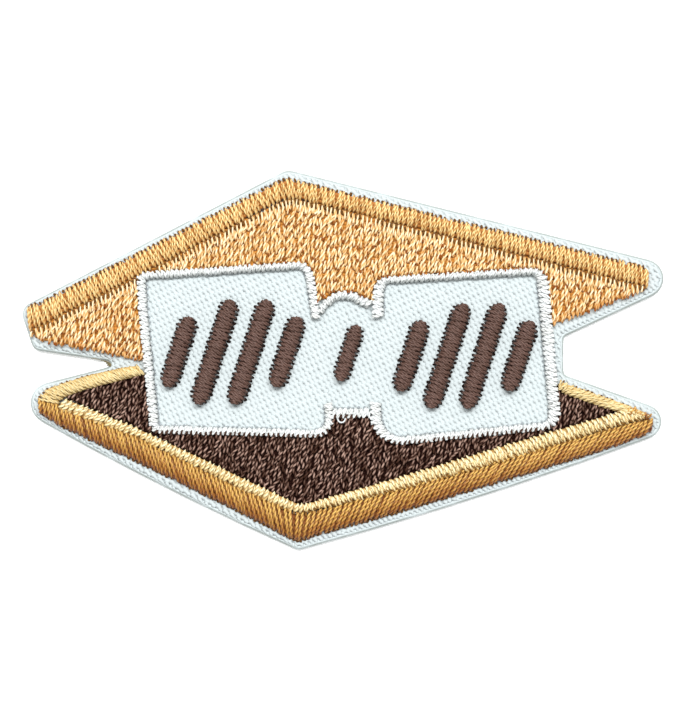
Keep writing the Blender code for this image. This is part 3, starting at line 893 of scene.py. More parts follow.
def gaps_at(place, direction, rng, level, length, width, lean=0.0):
    """Bowls of painted shade at given places: long axes, half sizes and levels, each a little different."""
    count = len(place)
    turn = rng.normal(lean, GAP_TURN, count)[:, None]
    return {
        "place": place, "axis": direction * np.cos(turn) + left_of(direction) * np.sin(turn),
        "length": length / 2.0 * rng.uniform(*GAP_LENGTHS, count),
        "width": width / 2.0 * rng.uniform(*GAP_WIDTHS, count),
        "level": level + rng.uniform(-GAP_LEVEL_STRAY, GAP_LEVEL_STRAY, count),
    }


def needle_holes(stitches, rng, share, level, length, width):
    """Bowls of painted shade at the first needle points of a share of the stitches, along each stitch."""
    seen = stitches["path"][rng.random(len(stitches["path"])) < share][..., :2]
    return gaps_at(seen[:, 0], unit(seen[:, -1] - seen[:, 0]), rng, level, length, width)


def gap_piece(name, sets, material, sides=7):
    """Small dark bowls of painted shade: each is a stack of ellipses that rises to a lip and sinks to a
    floor.
    """
    gaps = merged(sets)
    reach, rise = (np.array(rings)[None, :, None, None] for rings in (BOWL_REACH, BOWL_RISE))
    angle = 2.0 * math.pi * np.arange(sides) / sides
    axis, across = gaps["axis"], left_of(gaps["axis"])
    along = (gaps["length"][:, None] * np.cos(angle))[..., None] * axis[:, None]
    aside = (gaps["width"][:, None] * np.sin(angle))[..., None] * across[:, None]
    plan = gaps["place"][:, None, None] + reach * (along + aside)[:, None]
    height = np.broadcast_to(gaps["level"][:, None, None, None] + rise, (*plan.shape[:3], 1))
    points = np.concatenate([plan, height], axis=-1).reshape(-1, 3)
    index = np.arange(len(points)).reshape(plan.shape[:3])
    quads, caps = ring_faces(index), np.concatenate([index[:, -1], index[:, 0, ::-1]])
    corners = np.concatenate([quads.ravel(), caps.ravel()])
    return mesh_piece(name, points, [quads, caps], points[corners, :2], {}, material)


def ground_set(region, holes, rng, stations=9):
    """Underlay of a field: flat strands across the rows, close together, that hide the cloth."""
    region = np.asarray(region, float)
    low, high = region.min(axis=0), region.max(axis=0)
    columns, rows = np.arange(low[0], high[0], GROUND_STEP), np.arange(low[1], high[1], GROUND_ROW)
    x, y = (grid.ravel() for grid in np.meshgrid(columns, rows))
    x = x + rng.uniform(-GROUND_SHIFT, GROUND_SHIFT, len(x))
    start, end = (
        np.stack([x + length, y + rng.uniform(-GROUND_STRAY, GROUND_STRAY, len(x))], axis=-1)
        for length in (0.0, GROUND_LENGTH)
    )
    start, end = clipped(start, end, region, holes)
    line, share = plan_lines(start, end, stations, np.zeros(len(start)))
    top = np.full(len(start), UNDERLAY_CROWN - GROUND_THICKNESS / 2.0)
    height, _ = arch(share, top - GROUND_THICKNESS / 2.0, top, 6.0)
    # Fully sunk: the underlay takes the deep colour, painted shade between the stitches above
    return raised(line, height, GROUND_WIDTH, GROUND_THICKNESS, rng.random(len(start)) * 0.5, 1.0)


# Materials

def add_node(tree, kind, sockets=None, **settings):
    """Adds a node, sets its properties and fills its sockets; an output given as a value is linked."""
    node = tree.nodes.new(kind)
    for key, value in settings.items():
        setattr(node, key, value)
    for key, value in (sockets or {}).items():
        if isinstance(value, bpy.types.NodeSocket):
            tree.links.new(value, node.inputs[key])
        else:
            node.inputs[key].default_value = value
    return node


def math_node(tree, operation, *values, clamp=False):
    """Result of a Math node."""
    node = add_node(tree, "ShaderNodeMath", dict(enumerate(values)), operation=operation, use_clamp=clamp)
    return node.outputs[0]


def times(tree, first, second):
    """Product of two values."""
    return math_node(tree, "MULTIPLY", first, second)


def mixed(tree, share, first, second, blend="MIX"):
    """Colour that goes from first to second, or to first blended with it, as share goes from 0 to 1."""
    node = add_node(
        tree, "ShaderNodeMix", {0: share, 6: first, 7: second}, data_type="RGBA", blend_type=blend,
    )
    return node.outputs[2]


def map_range(tree, value, low, high):
    """Smooth step of a value: 0 at low, 1 at high."""
    sockets = {0: value, 1: low, 2: high, 3: 0.0, 4: 1.0}
    return add_node(tree, "ShaderNodeMapRange", sockets, interpolation_type="SMOOTHSTEP").outputs[0]


def point_value(tree, name):
    """A value that the mesh carries at its points."""
    return add_node(tree, "ShaderNodeAttribute", attribute_name=name).outputs["Fac"]


def object_place(tree):
    """Place of the shaded point in the object's own coordinates."""
    return add_node(tree, "ShaderNodeTexCoord").outputs["Object"]


def noise(tree, place, scale, detail=2.0):
    """Soft noise from 0 to 1 over a place."""
    sockets = {"Vector": place, "Scale": scale, "Detail": detail}
    return add_node(tree, "ShaderNodeTexNoise", sockets).outputs["Fac"]


def add_bump(tree, shader, strength, height):
    """Fine relief of the surface from a height between 0 and 1."""
    bump = add_node(tree, "ShaderNodeBump", {"Strength": strength, "Distance": BUMP_DEPTH, "Height": height})
    tree.links.new(bump.outputs["Normal"], shader.inputs["Normal"])


def scaled_colour(colour, factor):
    """Linear colour with its channels multiplied, kept within 0 to 1."""
    factors = np.broadcast_to(factor, 3)
    return (*np.clip(np.array(colour[:3]) * factors, 0.0, 1.0).tolist(), 1.0)


def new_material(name, roughness, specular):
    """Material with a Principled shader; returns it with its tree and the shader."""
    material = bpy.data.materials.new(name)
    material.use_nodes = True
    shader = material.node_tree.nodes["Principled BSDF"]
    shader.inputs["Roughness"].default_value = roughness
    shader.inputs["Specular IOR Level"].default_value = specular
    return material, material.node_tree, shader


def thread_material(
    name, colour, gleam, deep, groove_shade=0.6, painted_highlight=0.0, painted_shade=0.0, painted_shade_range=(0.15, 0.95), shade=None,
    spread=0.22, flecks=0.0, evenness=0.25, roughness=0.40, specular=0.4, sheen=0.10,
):
    """Spun ply: a tint of each strand's own, fibre streaks, painted highlights on the crests and painted
    shade in the grooves.

    gleam, deep and shade multiply the colour's channels, and spread is how far a strand's own colour may go
    from it. The foot in the cloth is deep, a painted shade, and so are the plies' grooves by their share,
    another painted shade. The side that turns from the light takes the shade, or the deep where there is
    none, as painted shade by its share, from one end of its range to the other. The other side takes the
    gleam as a painted highlight by its share. By the share flecks, the darkest strands are deep and the
    lightest ones gleam all along: a tone of their own that also stands in for painted shade and painted
    highlights. The crests of the darkest strands gleam by the share evenness, and those of the lightest ones
    by 1.25, as a painted highlight.
    """
    material, tree, shader = new_material(name, roughness, specular)
    tint, sunk, fall, crest = (point_value(tree, key) for key in ("tint", "sunk", "fall", "crest"))
    uv = add_node(tree, "ShaderNodeUVMap", uv_map="UVMap").outputs["UV"]
    along, round_strand, _ = add_node(tree, "ShaderNodeSeparateXYZ", {0: uv}).outputs
    streak_place = add_node(tree, "ShaderNodeCombineXYZ", {
        0: times(tree, along, 1.6), 1: times(tree, round_strand, 7.0), 2: times(tree, tint, 37.0),
    }).outputs[0]
    streaks = noise(tree, streak_place, 1.0, detail=3.0)
    patches = noise(tree, object_place(tree), 420.0)
    gleaming, deepest = scaled_colour(colour, gleam), scaled_colour(colour, deep)
    darker, lighter = (scaled_colour(colour, 1.0 + way * spread * STRAND_HUES) for way in (-1.0, 1.0))

    variety = math_node(tree, "ADD", times(tree, tint, 0.75), times(tree, patches, 0.30), clamp=True)
    body = mixed(tree, variety, darker, lighter)
    body = mixed(tree, times(tree, streaks, 0.24), body, scaled_colour(colour, 0.55))
    # Painted highlight on the side that faces the light
    if painted_highlight > 0.0:
        body = mixed(tree, times(tree, map_range(tree, fall, 0.75, 0.0), painted_highlight), body, gleaming)
    # Flecks: a tone of the strands' own that also stands in for painted shade and painted highlights
    if flecks > 0.0:
        body = mixed(tree, times(tree, map_range(tree, tint, 0.22, 0.04), flecks), body, deepest)
        body = mixed(tree, times(tree, map_range(tree, tint, 0.78, 0.98), flecks), body, gleaming)
    # Painted shade in the plies' grooves
    body = mixed(tree, times(tree, map_range(tree, crest, 0.86, 0.52), groove_shade), body, deepest)
    # Painted highlight on the crests
    shine = math_node(tree, "MULTIPLY_ADD", variety, 1.25 - evenness, evenness)
    high = times(tree, map_range(tree, crest, 0.72, 0.98), shine)
    if painted_highlight > 0.0:
        high = times(tree, high, map_range(tree, fall, 1.1, 0.3))
    body = mixed(tree, high, body, gleaming)
    # Painted shade on the side that turns from the light
    if painted_shade > 0.0:
        far_side = times(tree, map_range(tree, fall, *painted_shade_range), painted_shade)
        if shade is None:
            body = mixed(tree, far_side, body, deepest)
        else:
            body = mixed(tree, far_side, body, (*shade, 1.0), "MULTIPLY")
    # Painted shade at the foot, where the strand dives into the cloth
    foot = math_node(tree, "POWER", sunk, 1.5, clamp=True)
    tree.links.new(mixed(tree, foot, body, deepest), shader.inputs["Base Color"])

    add_bump(tree, shader, 0.5, streaks)
    gloss = math_node(tree, "MULTIPLY_ADD", streaks, 0.24, roughness - 0.10)
    gloss = math_node(tree, "MULTIPLY_ADD", sunk, 0.40, gloss, clamp=True)
    tree.links.new(gloss, shader.inputs["Roughness"])
    shader.inputs["Sheen Weight"].default_value = sheen
    shader.inputs["Sheen Roughness"].default_value = 0.4
    return material


# Operators

def settings():
    """The scene's thread, cloth, colour and stage properties."""
    scene = bpy.context.scene
    return scene.patch_threads, scene.patch_cloth, scene.patch_colours, scene.patch_stage


def slab(name, outline, profile, material):
    """Closed slab in the shape of the outline.

    A profile of (share, inset, height, sunk) runs from the middle of one face over the edge to the
    middle of the other: a ring is the outline moved in by inset and scaled by share towards the origin.
    """
    share, inset, height, sunk = np.array(profile).T[:, :, None, None]
    rings = (outline[None] + inward_of(outline)[None] * inset) * share
    points = np.concatenate([rings, np.broadcast_to(height, (*rings.shape[:2], 1))], axis=-1)
    rows, columns = points.shape[:2]
    index = np.arange(rows * columns).reshape(rows, columns)
    after = np.roll(index, -1, axis=1)
    quads = np.stack([index[:-1], index[1:], after[1:], after[:-1]], axis=-1).reshape(-1, 4)
    caps = np.stack([index[0], index[-1, ::-1]])
    corners = np.concatenate([quads.ravel(), caps.ravel()])
    flat = points.reshape(-1, 3)
    values = {"sunk": np.broadcast_to(sunk[..., 0], (rows, columns)), "tint": np.full((rows, columns), 0.5)}
    return mesh_piece(name, flat, [quads, caps], flat[corners, :2], values, material)


# Profiles of the cloth and of its backing: share, inset, height and sunk of each ring of the slab
# A sunk up to 1 greys the weave floor with painted shade; above 1.2 it marks the singed cut edge
CLOTH_PROFILE = (
    (0.02, 0.0, WEAVE_FLOOR, 1.0), (0.3, 0.0, WEAVE_FLOOR, 1.0), (0.6, 0.0, WEAVE_FLOOR, 1.0),
    (0.86, 0.0, WEAVE_FLOOR, 1.0), (1.0, 1.1, WEAVE_FLOOR, 1.0), (1.0, 0.50, WEAVE_FLOOR, 0.9),
    (1.0, 0.36, WEAVE_FLOOR + 0.03, 0.5), (1.0, 0.30, WEAVE_FLOOR + 0.05, 0.2),
    (1.0, 0.25, WEAVE_FLOOR + 0.04, 0.3), (1.0, 0.20, WEAVE_FLOOR + 0.03, 2.6),
    (1.0, 0.10, WEAVE_FLOOR - 0.03, 3.0), (1.0, 0.01, WEAVE_FLOOR - 0.20, 3.0),
    (1.0, 0.05, BACKING_TOP + 0.04, 2.6), (1.0, 0.12, BACKING_TOP, 2.0), (1.0, 1.1, BACKING_TOP, 1.0),
    (0.8, 0.0, BACKING_TOP, 1.0), (0.4, 0.0, BACKING_TOP, 1.0), (0.02, 0.0, BACKING_TOP, 1.0),
)
BACKING_PROFILE = (
    (0.02, 0.0, BACKING_TOP, 0.3), (0.5, 0.0, BACKING_TOP, 0.3), (1.0, 1.1, BACKING_TOP, 0.3),
    (1.0, 0.16, BACKING_TOP, 1.0), (1.0, 0.08, BACKING_TOP - 0.05, 2.6), (1.0, 0.05, BACKING_TOP - 0.14, 2.6),
    (1.0, 0.06, 0.10, 2.4), (1.0, 0.10, 0.03, 1.0), (1.0, 0.18, 0.0, 0.0), (1.0, 1.1, 0.0, 0.0),
    (0.8, 0.0, 0.0, 0.0), (0.4, 0.0, 0.0, 0.0), (0.02, 0.0, 0.0, 0.0),
)


class PATCH_OT_twill(bpy.types.Operator):
    """Weave the white twill: a cloth with a sealed cut edge and yarn floats on a slanted lattice"""

    bl_idname = "patch.twill"
    bl_label = "Weave twill"

    def execute(self, context):
        _, cloth, colours, _ = settings()
        outline = cloth_outline()
        material = twill_material("twill_yarn", colours.twill)
        ground = slab("twill_cloth", outline, CLOTH_PROFILE, material)
        floats = self.floats(cloth, outline)
        left = floats["path"][:, 0, 0] < 0.0
        scorched = gap_shade_and_scorch_material("scorched_fibre", srgb(84, 76, 50), srgb(140, 130, 100))
        pieces = [
            strand_piece("twill_floats_left", [chosen(floats, left)], material),
            strand_piece("twill_floats_right", [chosen(floats, ~left)], material),
            strand_piece("notch_scorch", [self.scorch()], scorched),
        ]
        for piece in (ground, *pieces):
            finish_piece(piece, "white_twill", "twill_ground")
        return {"FINISHED"}

    def floats(self, cloth, outline):
        """Yarn floats at the points i * a + j * b of a lattice, where a runs along a rib and b across it."""
        rng = np.random.default_rng(11)
        rib = heading(cloth.wale_angle)
        cross = np.array([-rib[1], rib[0]])
        counts = [np.arange(-reach, reach + 1) for reach in LATTICE_REACH]
        i, j = (grid.ravel() for grid in np.meshgrid(*counts, indexing="ij"))
        centre = (i * cloth.along / MM)[:, None] * rib + (j * cloth.between / MM)[:, None] * cross
        centre += rng.uniform(-FLOAT_STRAY, FLOAT_STRAY, centre.shape)
        centre = centre[inside(centre, outline)]
        centre = centre[self.bare(centre, cloth)]
        turn = rng.normal(0.0, 0.05, len(centre)) + cloth.float_angle
        reach = heading(turn) * cloth.float_length / MM / 2.0
        reach *= rng.uniform(0.94, 1.06, len(centre))[:, None]
        room = outline + inward_of(outline) * FLOAT_END_MARGIN
        start, end = clipped(centre - reach, centre + reach, room, [])
        bow = rng.uniform(-FLOAT_BOW, FLOAT_BOW, len(start))
        line, share = plan_lines(start, end, FLOAT_STATIONS, bow)
        high = CLOTH_TOP - FLOAT_THICKNESS / 2.0 - rng.uniform(0.0, 0.01, len(start))
        height, sunk = arch(share, high - 0.03, high, 2.0)
        width = cloth.float_width / MM * (1.0 - cloth.float_waist * np.sin(math.pi * share) ** 6)
        widest = np.maximum(2.0 * (self.from_edge(line, outline) - FLOAT_SIDE_MARGIN), 0.10)
        tint = rng.random(len(start))
        # The floats' ends take a little painted shade by their sunk
        return raised(line, height, np.minimum(width, widest), FLOAT_THICKNESS, tint, 0.35 * sunk)

    def from_edge(self, line, outline, reach=0.75):
        """Distance of each station from the cut edge, up to reach."""
        distance = np.full(line.shape[:2], reach)
        near = ~inside(line, outline + inward_of(outline) * reach)
        distance[near] = np.linalg.norm(line[near][:, None] - outline[None], axis=-1).min(axis=1)
        return distance

    def scorch(self):
        """Short fibres, darkened by the cutting heat, along the end of the left notch."""
        fibres = np.array(SCORCHED_FIBRES)
        each = np.ones(len(fibres))
        line, share = plan_lines(fibres[:, 0], fibres[:, 1], FLOAT_STATIONS, 0.05 * each)
        height, sunk = arch(share, (WEAVE_FLOOR - 0.08) * each, (WEAVE_FLOOR + 0.03) * each, 2.0)
        width = np.linspace(0.07, 0.20, len(fibres))[:, None] * (0.5 + 0.5 * np.sin(math.pi * share))
        return raised(line, height, width, FLOAT_THICKNESS, 0.5 * each, sunk)

    def bare(self, centre, cloth):
        """Whether any of a float shows beside the stitching: its ends and middle are tested."""
        away = np.array([-1.0, 0.0, 1.0])[:, None] * FLOAT_TEST_REACH * heading(cloth.float_angle)
        places = centre[:, None] + away
        columns = [UPPER_RIM, LOWER_RIM_LEFT, LOWER_RIM_RIGHT, LIGHT_BAND, SIDE_BAND]
        fields = [UPPER_FACE, CHOCOLATE, *(column_outline(pairs) for pairs in columns)]
        bars = [column_outline(pairs) for _, pairs in toast_bars()]
        stitched, panel, barred = (
            np.any([inside(places, area) for area in areas], axis=0)
            for areas in (fields, panel_outlines(0.3), bars)
        )
        return (~stitched | panel).any(axis=1) & ~barred.all(axis=1)


def twill_material(name, colour):
    """Woven yarn: soft slubs and fine fibre lines, greyer where it lies deep, a painted shade, and singed at
    the cut edge.
    """
    material, tree, shader = new_material(name, roughness=0.78, specular=0.25)
    place, sunk, tint = object_place(tree), point_value(tree, "sunk"), point_value(tree, "tint")
    slub = noise(tree, place, 1300.0, detail=3.0)
    turned = add_node(tree, "ShaderNodeMapping", {
        "Vector": place, "Rotation": (0.0, 0.0, math.radians(57.0)), "Scale": (1500.0, 16000.0, 1500.0),
    }).outputs[0]
    fibres = noise(tree, turned, 1.0)
    share = math_node(tree, "ADD", times(tree, tint, 0.5), times(tree, slub, 0.5))
    body = mixed(tree, share, scaled_colour(colour, 0.92), tuple(colour))
    # Painted shade: the weave floor and the floats' ends turn greyer as they lie deeper
    foot = math_node(tree, "POWER", sunk, 2.0, clamp=True)
    body = mixed(tree, foot, body, scaled_colour(colour, (0.97, 0.975, 0.985)))
    wisps = noise(tree, place, 500.0, detail=3.0)
    singed = times(tree, map_range(tree, sunk, 1.2, 2.4), map_range(tree, wisps, 0.18, 0.56))
    tree.links.new(mixed(tree, singed, body, srgb(148, 156, 153)), shader.inputs["Base Color"])
    add_bump(tree, shader, 0.35, math_node(tree, "ADD", fibres, times(tree, slub, 0.6)))
    shader.inputs["Sheen Weight"].default_value = 0.2
    shader.inputs["Sheen Roughness"].default_value = 0.5
    return material


class PATCH_OT_backing(bpy.types.Operator):
    """Lay the fabric backing under the twill"""

    bl_idname = "patch.backing"
    bl_label = "Lay backing"

    def execute(self, context):
        colours = settings()[2]
        material = twill_material("backing_fabric", colours.twill)
        piece = slab("cloth_backing", cloth_outline(), BACKING_PROFILE, material)
        finish_piece(piece, "white_twill", "twill_ground")
        return {"FINISHED"}


class PATCH_OT_cracker_face(bpy.types.Operator):
    """Fill the upper cracker's face with rows of short stitches"""

    bl_idname = "patch.cracker_face"
    bl_label = "Fill cracker face"

    def execute(self, context):
        threads, _, colours, _ = settings()
        rng = np.random.default_rng(21)
        # Painted shade near the face's lower edge, in the grooves and at the feet; painted highlights on the
        # crests
        material = thread_material(
            "cracker_fill_thread", colours.cracker, gleam=(1.14, 1.38, 2.10), deep=(0.72, 0.42, 0.13),
            painted_shade=0.62, spread=0.24, flecks=0.45,
        )
        panels = [*panel_outlines(0.05, 0.2), column_outline(MIDDLE_ARCH)]
        sizes = (threads.fill_row, threads.fill_stitch, threads.fill_width, threads.fill_ply)
        stitches = fill_set(
            UPPER_FACE, [*panels, column_outline(widened(UPPER_RIM, 0.45))], math.radians(90.0), rng, threads,
            sizes, lower_edge=UPPER_FACE[UPPER_FACE_LOW_SIDE], spread=1.3,
        )
        edge = edge_set(UPPER_RIM, UPPER_FACE, panels, rng, threads)
        ground = ground_set(drawn_in(UPPER_FACE, 0.24), panels, rng)
        stitched_halves(
            "cracker_face", [stitches, edge, ground], material, "cracker_thread", "upper_cracker_face_left",
            "upper_cracker_face_main",
        )
        # Dark bowls at stitch starts: painted shade in the needle holes
        holes = needle_holes(stitches, rng, share=0.20, level=FILL_TOP - 0.03, length=0.44, width=0.19)
        brown = gap_shade_and_scorch_material("face_gap_shade", srgb(104, 50, 12), srgb(150, 84, 28))
        finish_piece(gap_piece("cracker_face_gaps", [holes], brown), "cracker_thread")
        return {"FINISHED"}


class PATCH_OT_upper_rim(bpy.types.Operator):
    """Stitch the golden satin rim of the upper cracker"""

    bl_idname = "patch.upper_rim"
    bl_label = "Stitch upper rim"

    def execute(self, context):
        threads, _, colours, _ = settings()
        # Painted shade on the side that turns from the light and in the grooves; painted highlights on the
        # crests
        material = thread_material(
            "golden_rim_thread", colours.rim, gleam=(1.25, 1.58, 2.30), deep=(0.52, 0.25, 0.06), painted_shade=0.20,
            spread=0.30, flecks=0.45,
        )
        sets = column_sets(
            UPPER_RIM, SATIN_TOP, threads, seed=31, jitter=0.13, contrast=0.30, inner_level=0.95,
        )
        stitched_piece("upper_rim_stitches", sets, material, "golden_thread", "upper_cracker_rim")
        return {"FINISHED"}


class PATCH_OT_lower_rims(bpy.types.Operator):
    """Stitch the two short pale rims of the lower cracker"""

    bl_idname = "patch.lower_rims"
    bl_label = "Stitch lower rims"

    def execute(self, context):
        threads, _, colours, _ = settings()
        material = thread_material(
            "pale_rim_thread", colours.low_rim, gleam=(1.15, 1.21, 1.40), deep=(0.86, 0.72, 0.48),
            groove_shade=0.35, spread=0.12,
        )
        pitch = threads.rim_pitch / MM
        for side, pairs, seed in (("left", LOWER_RIM_LEFT, 41), ("right", LOWER_RIM_RIGHT, 43)):
            sets = column_sets(pairs, SATIN_TOP, threads, seed, lanes=3, pitch=pitch)
            name, node = f"lower_rim_{side}_stitches", f"lower_cracker_rim_{side}"
            stitched_piece(name, sets, material, "pale_yellow_thread", node)
        return {"FINISHED"}


class PATCH_OT_light_band(bpy.types.Operator):
    """Stitch the pale band along the lower cracker's edge, with its upper needle points over the chocolate"""

    bl_idname = "patch.light_band"
    bl_label = "Stitch light band"

    def execute(self, context):
        threads, _, colours, _ = settings()
        # Painted highlight on the side that faces the light, painted shade on the side that turns from it
        material = thread_material(
            "pale_band_thread", colours.pale, gleam=(1.20, 1.40, 1.85), deep=(0.58, 0.38, 0.17), painted_highlight=0.40,
            painted_shade=0.62, painted_shade_range=(0.30, 0.95), shade=(0.72, 0.58, 0.40), spread=0.26, flecks=0.40,
        )
        options = {
            "lanes": 3, "pitch": threads.band_pitch / MM, "width": threads.band_width / MM, "jitter": 0.09,
            "contrast": 0.50, "inner_level": 1.42, "outer_level": 1.26,
        }
        parts = ((LIGHT_BAND_LEFT, 51, 0.30, (0.0, 0.50)), (LIGHT_BAND_RIGHT, 53, 0.35, (0.55, 0.50)))
        sets = []
        for pairs, seed, taper, point in parts:
            sets += column_sets(pairs, SATIN_TOP, threads, seed, taper=taper, point=point, **options)
        name, node = "light_band_stitches", "lower_cracker_light_band"
        stitched_piece(name, sets, material, "pale_yellow_thread", node)
        return {"FINISHED"}


class PATCH_OT_side_band(bpy.types.Operator):
    """Stitch the amber band of the lower cracker's side"""

    bl_idname = "patch.side_band"
    bl_label = "Stitch side band"

    def execute(self, context):
        threads, _, colours, _ = settings()
        # Painted highlight on the upper side that faces the light, painted shade on the lower side that turns
        # from it
        material = thread_material(
            "amber_side_thread", colours.amber, gleam=(1.50, 2.20, 3.40), deep=(0.38, 0.20, 0.04),
            groove_shade=0.64, painted_highlight=0.62, painted_shade=0.92, shade=(0.57, 0.44, 0.28), spread=0.58, flecks=0.62,
            evenness=0.10,
        )
        pitch, width = threads.side_pitch / MM, threads.side_width / MM
        sets = column_sets(
            SIDE_BAND, SATIN_TOP, threads, seed=61, pitch=pitch, width=width, jitter=0.10, contrast=0.80,
            power=2.1, inner_level=1.35,
        )
        sets += column_sets(TIP_STITCHES, SATIN_TOP + 0.04, threads, seed=67, lanes=2, jitter=0.12)
        stitched_piece("side_band_stitches", sets, material, "amber_thread", "lower_cracker_side_band")
        return {"FINISHED"}


class PATCH_OT_chocolate(bpy.types.Operator):
    """Fill the chocolate layer with dark rows of short stitches"""

    bl_idname = "patch.chocolate"
    bl_label = "Fill chocolate"

    def execute(self, context):
        threads, _, colours, _ = settings()
        rng = np.random.default_rng(71)
        material = thread_material(
            "chocolate_thread", colours.chocolate, gleam=(4.70, 6.70, 8.40), deep=(0.16, 0.05, 0.02),
            groove_shade=0.95, spread=0.42, flecks=0.35, evenness=-0.20, roughness=0.50, specular=0.15, sheen=0.0,
        )
        panels = panel_outlines(0.05)
        columns = (LIGHT_BAND, LOWER_RIM_LEFT, LOWER_RIM_RIGHT, MIDDLE_FOOT)
        holes = [*panels, *(column_outline(pairs) for pairs in columns)]
        sizes = (threads.dark_row, threads.dark_stitch, threads.dark_width, threads.dark_ply)
        stitches = fill_set(
            CHOCOLATE, holes, math.radians(84.0), rng, threads, sizes, lean=0.1, spread=1.7,
        )
        ground = ground_set(CHOCOLATE, panels, rng)
        stitched_halves(
            "chocolate", [stitches, ground], material, "chocolate_thread", "chocolate_field_left",
            "chocolate_field_middle", "chocolate_field_right",
        )
        return {"FINISHED"}


class PATCH_OT_marshmallows(bpy.types.Operator):
    """Stitch the white satin borders of the marshmallows, with their outer needle points over the fields"""

    bl_idname = "patch.marshmallows"
    bl_label = "Stitch marshmallow borders"

    def execute(self, context):
        threads, _, colours, _ = settings()
        # Painted shade: the inner side of the top borders greys as if turned from the light
        material = thread_material(
            "white_border_thread", colours.white, gleam=(1.20, 1.20, 1.19), deep=(0.95, 0.95, 0.94),
            groove_shade=0.10, painted_shade=0.90, painted_shade_range=(0.46, 0.72), shade=(0.60, 0.62, 0.61), spread=0.08,
        )
        left, right = panel_borders()
        loop = loop_set(LOOSE_LOOP_CENTRE, LOOSE_LOOP_RADIUS, LOOSE_LOOP_THICKNESS)
        parts = (
            ("left_border_stitches", left, "left_marshmallow_border", 81, []),
            ("right_border_stitches", right, "right_marshmallow_border", 83, []),
            ("middle_arch_stitches", MIDDLE_ARCH, "middle_marshmallow_arch", 85, []),
            ("middle_foot_stitches", MIDDLE_FOOT, "middle_marshmallow_foot", 87, [loop]),
        )
        options = {
            "lanes": 3, "fine": True, "pitch": threads.border_pitch / MM, "width": threads.border_width / MM,
            "taper": 0.10, "point": (0.45, 0.0), "power": 2.1, "stations": 9, "outer_level": 1.38,
            "inner_level": 0.86, "inner_shade": True,
        }
        for name, pairs, node, seed, extra in parts:
            sets = column_sets(pairs, BORDER_TOP, threads, seed, **options) + extra
            stitched_piece(name, sets, material, "white_thread", node)
        return {"FINISHED"}


class PATCH_OT_toast_bars(bpy.types.Operator):
    """Stitch the brown toasting bars on the marshmallows"""

    bl_idname = "patch.toast_bars"
    bl_label = "Stitch toasting bars"

    def execute(self, context):
        threads, _, colours, _ = settings()
        material = thread_material(
            "toast_bar_thread", colours.toast, gleam=(1.30, 1.35, 1.40), deep=(0.42, 0.33, 0.29), groove_shade=0.25,
            spread=0.14, roughness=0.46, specular=0.3, sheen=0.0,
        )
        options = {"fine": True, "teeth": 0.10, "power": 3.0, "stations": 9}
        for number, (node, pairs) in enumerate(toast_bars()):
            sets = column_sets(pairs, BAR_TOP, threads, seed=91 + number, **options)
            stitched_piece(f"{node}_stitches", sets, material, "toast_brown_thread", node)
        return {"FINISHED"}


